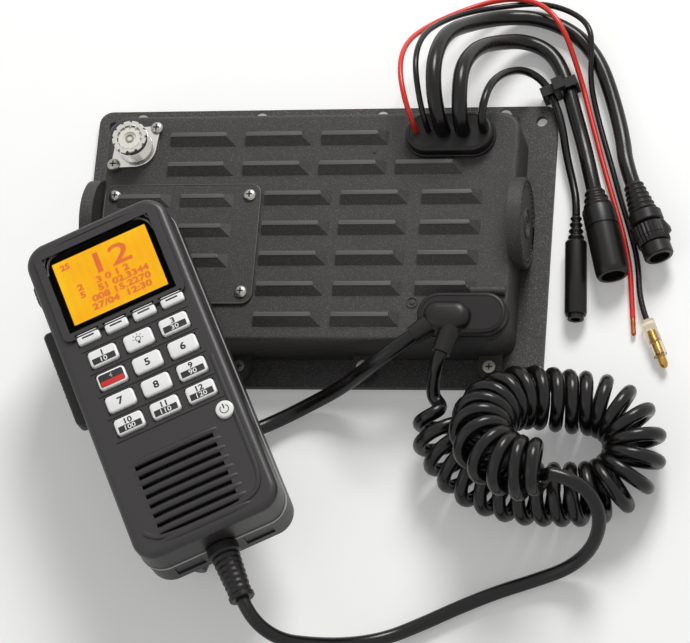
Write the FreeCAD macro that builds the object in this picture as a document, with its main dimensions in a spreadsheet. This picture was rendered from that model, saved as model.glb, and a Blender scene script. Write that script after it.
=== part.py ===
"""A marine radio: a flat ribbed transceiver box with its cables, and a wired handset lying on it.

Millimetres. The origin is the centre of the mounting plate's underside, +Z is up out of the
ribbed face, X runs along the box and Y across it. The handset is built in its own frame, back
down and face up, with Y along its length, and is then placed on the box.
"""
import FreeCAD
import Part
import Sketcher
import math
import os
import re

from FreeCAD import Placement, Rotation, Vector

os.makedirs("parts", exist_ok=True)
doc = FreeCAD.newDocument("marine_radio")

# Driving sizes
SIZES = {
    # mounting plate and its corner holes
    "plate_length": 213, "plate_width": 134, "plate_thickness": 3, "plate_corner": 6,
    "fixing_inset": 7.3, "fixing_radius": 2.5, "gasket_thickness": 0.8,
    # ribbed case
    "case_length": 188, "case_width": 108, "case_height": 23, "case_corner": 9,
    "case_edge": 2, "case_wall": 3, "case_face": 4,
    # ribs on the face
    "rib_length": 30.5, "rib_width": 6.4, "rib_height": 3, "rib_strip": 2, "rib_slope": 4.5,
    "rib_lean": 0.5, "rib_row_pitch": 14.35, "rib_column_pitch": 34.6, "rib_first_inset": 12.4,
    "rib_upper_inset": 45, "rib_lower_inset": 90.7,
    # round ears for the bracket
    "ear_radius": 20, "ear_thickness": 4.5, "ear_raise": 21, "ear_place": 3,
    "ear_insert_radius": 5, "ear_thread_radius": 3,
    # screws of the case and the board
    "lug_radius": 5, "lug_height": 4, "lug_reach": 5.5, "lug_inset": 10, "lug_spacing": 56,
    "screw_radius": 1.5, "screw_head_radius": 2.8, "screw_head_height": 1.8,
    "screw_clearance": 0.05, "screw_grip": 2.5,
    # service cover
    "cover_length": 72, "cover_width": 57, "cover_thickness": 1.2, "cover_inset": 2, "cover_y": -8.8,
    "cover_corner": 5, "cover_rib_length": 24.5, "cover_rib_pitch": 29, "cover_rib_shift": 3,
    "cover_rib_first": 8, "cover_screw_inset_x": 5, "cover_screw_inset_y": 5.5,
    # antenna socket
    "socket_inset_x": 14, "socket_inset_y": 16, "socket_radius": 7.94, "socket_length": 13,
    "socket_bore": 5.6, "socket_plate": 21, "socket_plate_thickness": 2, "socket_screw_x": 9.2,
    "socket_screw_y": 8.8, "socket_tail": 8, "socket_recess": 5.5, "contact_radius": 2, "contact_bore": 1.3,
    # rubber glands
    "gland_length": 39, "gland_width": 19, "gland_height": 6.5, "gland_inset_x": 30.5,
    "gland_inset_y": 12, "gland_neck": 8, "boot_inset_x": 19, "boot_inset_y": 10.5,
    "boot_height": 7, "nozzle_lift": 5.8,
    "nozzle_big": 5.1, "nozzle_small": 4.1, "nozzle_length": 16,
    # board inside the box
    "board_gap": 7, "board_thickness": 1.6, "board_lift": 5, "board_post_radius": 3.5,
    "board_screw_inset_x": 8, "board_screw_inset_y": 6, "chip_height": 5,
    # cables: radii
    "thick_cable": 3.5, "alarm_cable_radius": 1.8, "red_radius": 1.2, "black_radius": 1.3,
    "lead_radius": 3.2, "cord_radius": 3, "coil_radius": 14,
    # handset
    "hand_length": 156, "hand_width": 66, "rear_depth": 15, "bead_depth": 1.2, "front_depth": 17,
    "hand_corner": 10, "hand_edge": 3, "hand_wall": 2.6, "face_wall": 3, "hand_gap": 0.3,
    "hand_turn": 26, "hand_x": -52.2, "hand_y": -82.9,
    "window_length": 50, "window_width": 38, "window_thickness": 1.6, "window_y": 50.5,
    "lcd_length": 44, "lcd_width": 31, "lcd_thickness": 3, "bezel_border": 3.4, "bezel_height": 1.6,
    # keys
    "key_length": 13, "key_width": 7.6, "soft_length": 10.4, "soft_width": 5, "key_proud": 1.5,
    "key_clearance": 0.3, "key_skirt": 0.9, "key_skirt_height": 1.2, "key_travel": 0.9,
    "key_column_pitch": 16.6, "key_row_pitch": 11.3, "key_first_row": 16, "key_centre": 1.5,
    "soft_pitch": 13.1, "soft_row": 27, "power_inset": 8.5, "power_y": -30, "power_radius": 4,
    "mat_thickness": 1.2, "mat_gap": 1, "mat_side_gap": 5.4, "mat_width": 66, "mat_y": -2.5,
    "keypad_board_width": 97, "keypad_board_y": 14.5, "peg_radius": 1.5, "peg_upper_y": 44,
    "peg_clearance": 0.3, "peg_inset": 4.5, "peg_left": 20, "peg_right": 14,
    # side controls, loudspeaker and fixings of the handset
    "ptt_length": 46, "ptt_height": 10, "ptt_y": 17, "ptt_proud": 4.5, "ptt_travel": 1.5,
    "side_key_length": 11, "side_key_height": 7, "side_key_y": 59, "side_proud": 1.5,
    "side_level": 17.6, "side_flange": 1.6,
    "grille_length": 44, "grille_slot": 2, "grille_pitch": 4.6, "grille_first": -38,
    "speaker_radius": 18, "speaker_depth": 9, "speaker_y": -54,
    "microphone_radius": 3.5, "microphone_depth": 4, "microphone_inset": 7.5, "microphone_y": -44,
    "hand_screw_inset": 7.5, "hand_post_radius": 4,
    "plug_radius": 7, "plug_length": 26, "plug_flange": 1.5, "plug_level": 15,
    # connectors at the cable ends
    "power_plug_radius": 7.6, "power_ring_radius": 8.8, "power_ring_length": 9,
    "network_plug_radius": 7.4, "network_plug_length": 42, "alarm_plug_radius": 4.9,
    "alarm_plug_length": 34, "sleeve_radius": 3, "sleeve_length": 17, "bullet_radius": 1.9,
    "bullet_length": 12, "inline_radius": 11, "ring_clearance": 0.1,
}
# Places and sizes that follow other sizes
FOLLOWS = {
    "rib_first_row": "case_width / 2 - rib_first_inset",
    "rib_upper_start": "rib_upper_inset - case_length / 2",
    "rib_lower_start": "rib_lower_inset - case_length / 2",
    "lug_place": "case_width / 2 + lug_reach",
    "lug_far": "case_length / 2 - lug_inset",
    "lug_near": "case_length / 2 - lug_inset - lug_spacing",
    "cover_x": "cover_inset + cover_length / 2 - case_length / 2",
    "cover_screw_x": "cover_length / 2 - cover_screw_inset_x",
    "cover_screw_y": "cover_width / 2 - cover_screw_inset_y",
    "socket_x": "socket_inset_x - case_length / 2",
    "socket_y": "case_width / 2 - socket_inset_y",
    "gland_x": "case_length / 2 - gland_inset_x",
    "gland_y": "case_width / 2 - gland_inset_y",
    "boot_x": "case_length / 2 - boot_inset_x",
    "boot_y": "boot_inset_y - case_width / 2",
    "board_length": "case_length - 2 * case_wall - 2 * board_gap",
    "board_width": "case_width - 2 * case_wall - 2 * board_gap",
    "board_screw_x": "board_length / 2 - board_screw_inset_x",
    "board_screw_y": "board_width / 2 - board_screw_inset_y",
    "mat_length": "hand_width - 2 * hand_wall - mat_gap - mat_side_gap",
    "mat_centre": "(mat_side_gap - mat_gap) / 2",
    "peg_upper_x": "lcd_length / 2 + peg_radius + peg_clearance",
    "peg_lower_y": "mat_y - mat_width / 2 + peg_inset",
    "power_x": "hand_width / 2 - power_inset",
    "microphone_x": "hand_width / 2 - microphone_inset",
    "hand_screw_x": "hand_width / 2 - hand_screw_inset",
    "hand_screw_y": "hand_length / 2 - hand_screw_inset",
}
sheet = doc.addObject("Spreadsheet::Sheet", "sizes")
for row, (alias, number) in enumerate(SIZES.items(), start=1):
    sheet.set(f"A{row}", alias)
    sheet.set(f"B{row}", str(number))
    sheet.setAlias(f"B{row}", alias)
doc.recompute()
nodes = {}


def written_out(formula):
    """The formula with each place that follows other sizes written out in those sizes."""
    def follow(word):
        name = word.group(0)
        return f"({written_out(FOLLOWS[name])})" if name in FOLLOWS else name
    return re.sub(r"[a-z_]+", follow, str(formula))


def linked(formula):
    """The formula as text, with each size's name pointed at the spreadsheet."""
    def point(word):
        return "sizes." + word.group(0) if word.group(0) in SIZES else word.group(0)
    return re.sub(r"[a-z_]+", point, written_out(formula))


def size(formula):
    """The number that a formula of sizes gives now, worked out in a spare cell."""
    sheet.set("D1", "=" + written_out(formula))
    sheet.recompute()
    return float(sheet.get("D1"))


def settle(thing, at, turn=None):
    """Place a thing at a point whose coordinates are formulas, turned by a rotation."""
    if turn is not None:
        thing.Placement = Placement(Vector(), turn)
    for axis, formula in zip("xyz", at):
        thing.setExpression("Placement.Base." + axis, linked(formula))
    return thing


def primitive(kind, name, at, turn=None, **sizes):
    """A Part primitive whose sizes are formulas; with no point given it is placed later."""
    thing = doc.addObject("Part::" + kind, name)
    for property_name, formula in sizes.items():
        thing.setExpression(property_name, linked(formula))
    return settle(thing, at, turn) if at else thing


def block(name, x, y, bottom, length, width, height, turn=None):
    """A box centred on x and y that stands on the height called bottom."""
    at = (f"({x}) - ({length}) / 2", f"({y}) - ({width}) / 2", bottom)
    return primitive("Box", name, at, turn, Length=length, Width=width, Height=height)


def post(name, x, y, bottom, radius, height):
    """An upright cylinder."""
    return primitive("Cylinder", name, (x, y, bottom), Radius=radius, Height=height)


def fuse(name, pieces):
    """The pieces joined into one; a single piece stays as it is."""
    if len(pieces) == 1:
        return pieces[0]
    thing = doc.addObject("Part::MultiFuse", name)
    thing.Shapes = pieces
    return thing


def group(name, pieces):
    """Separate solids kept side by side."""
    thing = doc.addObject("Part::Compound", name)
    thing.Links = pieces
    return thing


def cut(name, base, tools):
    """The base with all the tools taken away."""
    thing = doc.addObject("Part::Cut", name)
    thing.Base = base
    thing.Tool = fuse(name + "_tools", tools)
    return thing


def keep(label, thing):
    """Name a finished sub-part."""
    thing.Label = label
    nodes[label] = thing
    return thing


def edges_where(shape, test):
    """Names of the edges that pass a test."""
    return [f"Edge{i}" for i, edge in enumerate(shape.Edges, start=1) if test(edge)]


def upright(edge):
    """Whether an edge is straight and runs along Z."""
    ends = edge.Vertexes
    if len(ends) < 2 or not isinstance(edge.Curve, Part.Line):
        return False
    run = ends[1].Point - ends[0].Point
    return abs(run.x) + abs(run.y) < 1e-6


def rounded(name, length, width, height, corner, bottom="0", x="0", y="0", edge=None):
    """A padded rectangle with rounded upright corners, and a rounded top edge if one is given."""
    body = doc.addObject("PartDesign::Body", name)
    sketch = body.newObject("Sketcher::SketchObject", name + "_outline")
    ground = [f for f in body.Origin.OriginFeatures if f.Role == "XY_Plane"][0]
    sketch.AttachmentSupport = (ground, [""])
    sketch.MapMode = "FlatFace"
    half_x, half_y = size(length) / 2, size(width) / 2
    corners = [Vector(-half_x, -half_y), Vector(half_x, -half_y), Vector(half_x, half_y),
               Vector(-half_x, half_y)]
    for start, end in zip(corners, corners[1:] + corners[:1]):
        sketch.addGeometry(Part.LineSegment(start, end), False)
    for line in range(4):
        sketch.addConstraint(Sketcher.Constraint("Coincident", line, 2, (line + 1) % 4, 1))
        sketch.addConstraint(Sketcher.Constraint("Vertical" if line % 2 else "Horizontal", line))
    sketch.addConstraint(Sketcher.Constraint("Symmetric", 0, 1, 1, 2, -1, 1))
    for title, kind, line, formula in (("long", "DistanceX", 0, length),
                                       ("across", "DistanceY", 1, width)):
        span = half_x * 2 if kind == "DistanceX" else half_y * 2
        index = sketch.addConstraint(Sketcher.Constraint(kind, line, 1, line, 2, span))
        sketch.renameConstraint(index, title)
        sketch.setExpression("Constraints." + title, linked(formula))
    pad = body.newObject("PartDesign::Pad", name + "_pad")
    pad.Profile = sketch
    pad.setExpression("Length", linked(height))
    pad.recompute(True)
    turned = body.newObject("PartDesign::Fillet", name + "_corners")
    turned.Base = (pad, edges_where(pad.Shape, upright))
    turned.setExpression("Radius", linked(corner))
    turned.recompute(True)
    if edge:
        top = size(height)
        soft = body.newObject("PartDesign::Fillet", name + "_edge")
        level = edges_where(turned.Shape, lambda e: all(abs(v.Z - top) < 1e-6 for v in e.Vertexes))
        soft.Base = (turned, level)
        soft.setExpression("Radius", linked(edge))
    return settle(body, (x, y, bottom))


def ring(name, length, width, height, wall, bottom, corner):
    """A rounded frame of one wall thickness."""
    outer = rounded(name + "_outer", length, width, height, corner, bottom)
    inner = rounded(name + "_inner", f"{length} - 2 * {wall}", f"{width} - 2 * {wall}",
                    f"{height} + 2", f"{corner} - {wall} / 2", f"{bottom} - 1")
    return cut(name, outer, [inner])


def rib(name, x, y, bottom, length, height):
    """A raised louvre: a narrow top strip, a steep upper side, and slopes below and to the right."""
    thing = doc.addObject("Part::Wedge", name)
    for property_name, formula in (
            ("Xmin", "0"), ("Xmax", length), ("X2min", "rib_lean"),
            ("X2max", f"{length} - rib_slope"), ("Zmin", "0"), ("Zmax", "rib_width"),
            ("Z2min", "rib_lean"), ("Z2max", "rib_lean + rib_strip"),
            ("Ymin", "0"), ("Ymax", height)):
        thing.setExpression(property_name, linked(formula))
    lay = Rotation(Vector(1, 0, 0), 90)
    return settle(thing, (f"({x}) - ({length}) / 2", f"({y}) + rib_width / 2", bottom), lay)


# Levels of the box
CASE_BOTTOM = "(plate_thickness + gasket_thickness)"
CASE_FACE = "(plate_thickness + gasket_thickness + case_height)"
RIB_TOP = "(plate_thickness + gasket_thickness + case_height + rib_height)"
HAND_Z = "(plate_thickness + gasket_thickness + case_height + rib_height + hand_gap)"
SIGNS = [(-1, -1), (1, -1), (-1, 1), (1, 1)]
LUGS = [(f"{sign_x} * {place}", f"{sign_y} * lug_place")
        for place in ("lug_near", "lug_far") for sign_x, sign_y in SIGNS]
BOARD_FIXINGS = [(f"{a} * board_screw_x", f"{b} * board_screw_y") for a, b in SIGNS]
COVER_FIXINGS = [("cover_x + cover_screw_x", "cover_y + cover_screw_y"),
                 ("cover_x - cover_screw_x", "cover_y + cover_screw_y"),
                 ("cover_x + cover_screw_x", "cover_y - cover_screw_y"),
                 ("cover_x - cover_screw_x", "cover_y - cover_screw_y")]
SOCKET_FIXINGS = [("socket_x + socket_screw_x", "socket_y + socket_screw_y"),
                  ("socket_x - socket_screw_x", "socket_y - socket_screw_y")]

# Mounting plate, with a hole in each corner and four posts for the board
plate = rounded("plate", "plate_length", "plate_width", "plate_thickness", "plate_corner")
plate_posts = [post(f"plate_post_{i}", x, y, "plate_thickness / 2", "board_post_radius",
                    "board_lift + plate_thickness / 2") for i, (x, y) in enumerate(BOARD_FIXINGS)]
plate_holes = [post(f"fixing_{i}", f"{a} * (plate_length / 2 - fixing_inset)",
                    f"{b} * (plate_width / 2 - fixing_inset)", "-1", "fixing_radius",
                    "plate_thickness + 2") for i, (a, b) in enumerate(SIGNS)]
plate_holes += [post(f"plate_screw_{i}", x, y, "-1", "screw_radius + screw_clearance",
                     "plate_thickness + board_lift + 2")
                for i, (x, y) in enumerate(LUGS + BOARD_FIXINGS)]
keep("mounting_plate", cut("mounting_plate", fuse("plate_with_posts", [plate] + plate_posts),
                           plate_holes))

keep("case_gasket", ring("case_gasket", "case_length", "case_width", "gasket_thickness",
                         "case_wall", "plate_thickness", "case_corner"))

# Ribbed case: a shell open below, with ribs, lugs for its screws and two round ears
case_block = rounded("case_block", "case_length", "case_width", "case_height", "case_corner",
                     CASE_BOTTOM, edge="case_edge")
case_room = rounded("case_room", "case_length - 2 * case_wall", "case_width - 2 * case_wall",
                    "case_height - case_face", "case_corner - case_wall", CASE_BOTTOM)
ribs = []
for row in range(7):
    upper = row < 2
    start = "rib_upper_start" if upper else "rib_lower_start"
    count = (3, 4, 3, 3, 3, 3, 2)[row]
    for column in range(count):
        last = not upper and column == 2
        length = "(rib_length - 3.5)" if last else "rib_length"
        x = f"{start} + {column} * rib_column_pitch"
        ribs.append(rib(f"rib_{row}_{column}", x, f"rib_first_row - {row} * rib_row_pitch",
                        f"{CASE_FACE} - 0.01", length, "rib_height"))
lugs = [post(f"lug_{i}", x, y, CASE_BOTTOM, "lug_radius", "lug_height")
        for i, (x, y) in enumerate(LUGS)]
web_reach = "(lug_place - case_width / 2 + 1)"
lug_webs = [block(f"lug_web_{i}", x, f"{y} - {y} / lug_place * {web_reach} / 2", CASE_BOTTOM,
                  "2 * lug_radius", web_reach, "lug_height") for i, (x, y) in enumerate(LUGS)]
side_on = Rotation(Vector(0, 1, 0), 90)
ears = []
ear_cuts = []
for side, sign in (("left", -1), ("right", 1)):
    start = "case_length / 2 - 1" if sign > 0 else "-case_length / 2 - ear_thickness"
    ears.append(primitive("Cylinder", f"ear_{side}", (start, "ear_place", "ear_raise"), side_on,
                          Radius="ear_radius", Height="ear_thickness + 1"))
    bore_at = "case_length / 2 - 3" if sign > 0 else "-case_length / 2 - ear_thickness - 1"
    ear_cuts.append(primitive("Cylinder", f"ear_bore_{side}", (bore_at, "ear_place", "ear_raise"),
                              side_on, Radius="ear_insert_radius", Height="ear_thickness + 4"))
ear_floor = block("ear_floor", 0, "ear_place", "-50", "plate_length", "3 * ear_radius",
                  f"50 + {CASE_BOTTOM}")
case_solid = cut("case_with_room", fuse("case_all", [case_block] + ears), [case_room, ear_floor])
holes = [post(f"case_screw_hole_{i}", x, y, "0", "screw_radius + screw_clearance",
              "plate_thickness + lug_height + 8") for i, (x, y) in enumerate(LUGS)]
holes += [post(f"cover_screw_hole_{i}", x, y, f"{CASE_FACE} - screw_grip",
               "screw_radius + screw_clearance", "screw_grip + 5")
          for i, (x, y) in enumerate(COVER_FIXINGS + SOCKET_FIXINGS)]
holes.append(post("socket_hole", "socket_x", "socket_y", f"{CASE_FACE} - 6",
                  "socket_radius - 1 + screw_clearance", "10"))
holes.append(block("gland_hole", "gland_x", "gland_y", f"{CASE_FACE} - 6",
                   "gland_length - 2 * gland_neck", "gland_width - gland_neck", "10"))
keep("ribbed_case", cut("ribbed_case", fuse("case_with_ribs", [case_solid] + ribs + lugs
                                            + lug_webs), holes + ear_cuts))

# Threaded inserts in the ears
inserts = []
for side, at in (("left", "-case_length / 2 - ear_thickness"), ("right", "case_length / 2 - 3")):
    shell = primitive("Cylinder", f"insert_{side}", (at, "ear_place", "ear_raise"), side_on,
                      Radius="ear_insert_radius", Height="ear_thickness + 3")
    bore = primitive("Cylinder", f"insert_bore_{side}", (f"{at} - 1", "ear_place", "ear_raise"),
                     side_on, Radius="ear_thread_radius", Height="ear_thickness + 5")
    inserts.append(cut(f"insert_{side}_cut", shell, [bore]))
keep("bracket_inserts", group("bracket_inserts", inserts))


def screw(name, x, y, seat, shank):
    """A screw: a round head on its seat and a plain shank below."""
    head = post(name + "_head", x, y, seat, "screw_head_radius", "screw_head_height")
    stem = post(name + "_stem", x, y, f"{seat} - ({shank})", "screw_radius", f"{shank} + 0.5")
    return fuse(name, [head, stem])


case_screws = [screw(f"case_screw_{i}", x, y, f"{CASE_BOTTOM} + lug_height",
                     "lug_height + gasket_thickness + 2") for i, (x, y) in enumerate(LUGS)]
board_screws = [screw(f"board_screw_{i}", x, y, "plate_thickness + board_lift + board_thickness",
                      "board_thickness + 3") for i, (x, y) in enumerate(BOARD_FIXINGS)]
keep("case_screws", group("case_screws", case_screws + board_screws))

# Board inside the box, with its larger parts
board_bottom = "plate_thickness + board_lift"
board = block("board", 0, 0, board_bottom, "board_length", "board_width", "board_thickness")
chips = [block(f"chip_{i}", x, y, f"{board_bottom} + board_thickness - 0.01", length, width,
               "chip_height") for i, (x, y, length, width) in enumerate(
                   ((-40, 12, 46, 34), (20, 20, 30, 26), (14, -24, 22, 14), (54, -8, 16, 30)))]
board_holes = [post(f"board_hole_{i}", x, y, f"{board_bottom} - 1",
                    "screw_radius + screw_clearance", "board_thickness + 2")
               for i, (x, y) in enumerate(BOARD_FIXINGS)]
keep("main_board", cut("main_board", fuse("board_with_chips", [board] + chips), board_holes))

# Service cover on the face, with its own ribs and four screws
cover = rounded("cover", "cover_length", "cover_width", "cover_thickness", "cover_corner",
                CASE_FACE, "cover_x", "cover_y")
cover_ribs = [rib(f"cover_rib_{row}_{column}",
                  f"cover_x + {column} * cover_rib_pitch / 2 - cover_rib_shift",
                  f"cover_y + cover_width / 2 - cover_rib_first - {row} * rib_row_pitch",
                  f"{CASE_FACE} + cover_thickness - 0.01",
                  "cover_rib_length", "rib_height - cover_thickness")
              for row in range(3) for column in (-1, 1)]
cover_holes = [post(f"cover_hole_{i}", x, y, CASE_FACE, "screw_radius + screw_clearance", "10")
               for i, (x, y) in enumerate(COVER_FIXINGS)]
cover_holes += [post(f"cover_seat_{i}", x, y, f"{CASE_FACE} + cover_thickness",
                     "screw_head_radius + 0.3", "10") for i, (x, y) in enumerate(COVER_FIXINGS)]
keep("service_cover", cut("service_cover", fuse("cover_with_ribs", [cover] + cover_ribs),
                          cover_holes))
keep("cover_screws", group("cover_screws", [
    screw(f"cover_screw_{i}", x, y, f"{CASE_FACE} + cover_thickness", "cover_thickness + 2")
    for i, (x, y) in enumerate(COVER_FIXINGS)]))

# Antenna socket: a knurled barrel on a square flange, its insulator, contact and screws
socket_seat = CASE_FACE
socket_flange = rounded("socket_flange", "socket_plate", "socket_plate",
                        "socket_plate_thickness", "4", socket_seat, "socket_x", "socket_y")
barrel = post("barrel", "socket_x", "socket_y", f"{socket_seat} + 0.5", "socket_radius",
              "socket_length - 0.5")
tail = post("socket_tail", "socket_x", "socket_y", f"{socket_seat} - socket_tail",
            "socket_radius - 1", "socket_tail + 1")
socket_bore = post("socket_bore", "socket_x", "socket_y", f"{socket_seat} - socket_tail - 1",
                   "socket_bore", "socket_length + socket_tail + 2")
notches = [primitive("Box", f"notch_{i}", (
    f"socket_x + (socket_radius + 0.2) * cos({angle} deg) - 0.5",
    f"socket_y + (socket_radius + 0.2) * sin({angle} deg) - 0.5", f"{socket_seat} + socket_length - 1.6"),
    Length="1", Width="1", Height="3") for i, angle in enumerate(range(15, 360, 30))]
socket_holes = [post(f"socket_screw_hole_{i}", x, y, f"{socket_seat} - 1",
                     "screw_radius + screw_clearance", "5") for i, (x, y) in enumerate(SOCKET_FIXINGS)]
keep("antenna_socket", cut("antenna_socket", fuse("socket_all", [socket_flange, barrel, tail]),
                           [socket_bore] + notches + socket_holes))
insulator = post("insulator", "socket_x", "socket_y", f"{socket_seat} - socket_tail",
                 "socket_bore - 0.02", "socket_length + socket_tail - socket_recess")
insulator_bore = post("insulator_bore", "socket_x", "socket_y", f"{socket_seat} - socket_tail - 1",
                      "contact_radius + 0.02", "socket_length + socket_tail + 2")
keep("antenna_insulator", cut("antenna_insulator", insulator, [insulator_bore]))
contact = post("contact", "socket_x", "socket_y", f"{socket_seat} - socket_tail", "contact_radius",
               "socket_length + socket_tail - socket_recess")
contact_bore = post("contact_bore", "socket_x", "socket_y", f"{socket_seat} + 2", "contact_bore",
                    "socket_length")
keep("antenna_contact", cut("antenna_contact", contact, [contact_bore]))
keep("antenna_screws", group("antenna_screws", [
    screw(f"antenna_screw_{i}", x, y, f"{socket_seat} + socket_plate_thickness",
          "socket_plate_thickness + 2") for i, (x, y) in enumerate(SOCKET_FIXINGS)]))

# Rubber gland of the cable harness, set through the face
gland_top = rounded("gland_top", "gland_length", "gland_width", "gland_height",
                    "gland_width / 2 - 0.1", CASE_FACE, "gland_x", "gland_y", edge="1.5")
gland_neck = block("gland_neck", "gland_x", "gland_y", f"{CASE_FACE} - 5",
                   "gland_length - 2 * gland_neck - 0.1", "gland_width - gland_neck - 0.1", "6")
keep("harness_gland", fuse("harness_gland", [gland_top, gland_neck]))


def along(direction):
    """The rotation that turns +Z to a direction."""
    return Rotation(Vector(0, 0, 1), Vector(*direction))


def onward(point, direction, distance):
    """A point moved along a direction."""
    return Vector(*point) + Vector(*direction).normalize() * distance


def turned_piece(name, point, direction, profile):
    """Steps of a turned piece from a point along a direction: length, first and last radius."""
    steps = []
    place = Vector(*point)
    for number, (length, first, last) in enumerate(profile):
        step = doc.addObject("Part::Cylinder" if first == last else "Part::Cone",
                             f"{name}_step_{number}")
        step.setExpression("Height", linked(length))
        if first == last:
            step.setExpression("Radius", linked(first))
        else:
            step.setExpression("Radius1", linked(first))
            step.setExpression("Radius2", linked(last))
        step.Placement = Placement(place, along(direction))
        steps.append(step)
        place = onward(place, direction, size(length))
    return fuse(name, steps), place


# Boot of the handset's leads: a low stadium with two nozzles over the lower edge of the face
face_z = size(CASE_FACE)
lead_level = face_z + size("nozzle_lift")
boot = rounded("boot", "gland_length", "gland_width", "boot_height", "gland_width / 2 - 0.1",
               CASE_FACE, "boot_x", "boot_y", edge="1.5")
LEAD_A_WAY = (-0.8, -0.6, 0)
LEAD_B_WAY = (-0.3, -0.954, 0)
lead_a_root = (size("boot_x") - 8, size("boot_y") - 1, lead_level)
lead_b_root = (size("boot_x") - 3, size("boot_y") - 3, lead_level)
nozzle = [("nozzle_length", "nozzle_big", "nozzle_small")]
nozzle_a, lead_a_start = turned_piece("nozzle_a", lead_a_root, LEAD_A_WAY, nozzle)
nozzle_b, lead_b_start = turned_piece("nozzle_b", lead_b_root, LEAD_B_WAY, nozzle)
keep("cord_boot", fuse("cord_boot", [boot, nozzle_a, nozzle_b]))


def route(points):
    """A wire of straight runs joined by tangent arcs, each arc as large as its two runs allow."""
    points = [Vector(*point) for point in points]
    edges = []
    start = points[0]
    radii = []
    for before, corner, after in zip(points, points[1:], points[2:]):
        back = before - corner
        ahead = after - corner
        shorter = min(back.Length, ahead.Length)
        back.normalize()
        ahead.normalize()
        half_turn = (math.pi - back.getAngle(ahead)) / 2
        cut_back = 0.45 * shorter
        radii.append(cut_back / math.tan(half_turn))
        first = corner + back * cut_back
        last = corner + ahead * cut_back
        middle_way = (back + ahead).normalize()
        reach = radii[-1] / math.cos(half_turn) - radii[-1]
        middle = corner + middle_way * reach
        edges.append(Part.LineSegment(start, first).toShape())
        edges.append(Part.Arc(first, middle, last).toShape())
        start = last
    edges.append(Part.LineSegment(start, points[-1]).toShape())
    return Part.Wire(edges), radii


def tube(name, points, radius):
    """A closed tube along a route, kept if it has a name; prints its length, radii and volume."""
    path, radii = route(points)
    first_way = Vector(*points[1]) - Vector(*points[0])
    section = Part.Wire([Part.makeCircle(radius, Vector(*points[0]), first_way)])
    solid = path.makePipeShell([section], True, False)
    if solid.Volume < 0:
        solid.reverse()
    thing = doc.addObject("Part::Feature", name or "cord_stretch")
    thing.Shape = solid
    share = solid.Volume / (math.pi * radius ** 2 * path.Length)
    print(name or "cord stretch", "length", round(path.Length, 1), "radii", [round(r, 1) for r in radii],
          "volume share", round(share, 4))
    return keep(name, thing) if name else thing


# Harness cables: out of the gland, over the upper edge and down beside the box
gland_z = face_z + size("gland_height")
thick = size("thick_cable")
floor_thick = thick + 0.1
POWER_WAY = (0.36, -0.933, 0)
NETWORK_WAY = (0.25, -0.968, 0)
ALARM_WAY = (0.05, -0.999, 0)
BLACK_WAY = (0.38, -0.925, 0)
RED_WAY = (0.1, -0.995, 0)
power_end = (142.5, 26, 8.9)
network_end = (125.2, 24, 7.5)
alarm_end = (117.5, 13, 5)
red_end = (144.4, -34, 1.4)
black_end = (151, -36, 3.1)


def squared(points, way, lead_in):
    """A route whose last run comes straight in along a direction."""
    end = Vector(*points[-1])
    return points[:-1] + [tuple(end - Vector(*way).normalize() * lead_in), tuple(end)]


tube("power_cable", squared([
    (61, 42, gland_z), (61, 42, 41.5), (59, 53, 50.5), (58, 70, 50), (60, 88, 37.5),
    (68, 102, 17.5), (81, 110.5, 5.5), (97, 110, floor_thick), (113, 102, floor_thick),
    (124, 88, floor_thick), (131, 69, floor_thick), (136.3, 50, 5), power_end], POWER_WAY, 10),
     thick)
tube("network_cable", squared([
    (70, 42, gland_z), (70, 42, 41), (70, 52, 48), (70, 67, 46.5), (73, 82, 33), (79, 93, 15.5),
    (90, 98.5, 5), (102, 93, 4), (109, 80, 4.9), (113.7, 64, 4.9), (118.7, 48, 4.4),
    network_end], NETWORK_WAY, 10), thick)
alarm = size("alarm_cable_radius")
tube("alarm_cable", squared([
    (79, 42, gland_z), (79, 42, 39.5), (80, 50, 44), (82, 62, 39.5), (86, 73, 27),
    (92, 80, 14), (99.5, 77.5, 7.5), (105, 68, 6.2), (109, 56, 5.6), (111.5, 42, 4),
    (115.3, 28, 3.5), alarm_end], ALARM_WAY, 7), alarm)
red = size("red_radius")
tube("red_wire", squared([
    (49, 42, gland_z), (49, 42, 39.5), (45, 53, 46.5), (41.5, 69, 45), (41.5, 86, 33),
    (47, 101, 17), (58, 113, 6), (72, 120, 2.4), (87, 120, 5), (100, 112, 11.2), (108, 101, 11.2),
    (112.6, 89, 5), (116.3, 78, 1.5), (119.7, 66, 1.4), (123.8, 52, 1.4), (128.2, 37, 1.4),
    (133, 22, 1.4), (138.2, 6, 1.4), (142, -10, 1.4), red_end], RED_WAY, 12), red)
black = size("black_radius")
tube("black_wire", squared([
    (54.5, 42, gland_z), (54.5, 42, 40.5), (52, 53, 49), (49.5, 69, 50.5), (50, 85, 41),
    (55, 99, 25.5), (64, 110, 12), (78, 116.5, 3.8), (95, 118.7, 2.4), (110, 112.5, 6),
    (120, 102, 11.4), (121, 90, 10), (120, 79, 3.5), (122.9, 66, 1.5), (127, 52, 1.5),
    (131.5, 38, 1.5), (136, 23, 1.5), (141, 8, 1.5), (145.6, -8, 1.7), black_end], BLACK_WAY, 10),
     black)

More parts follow.
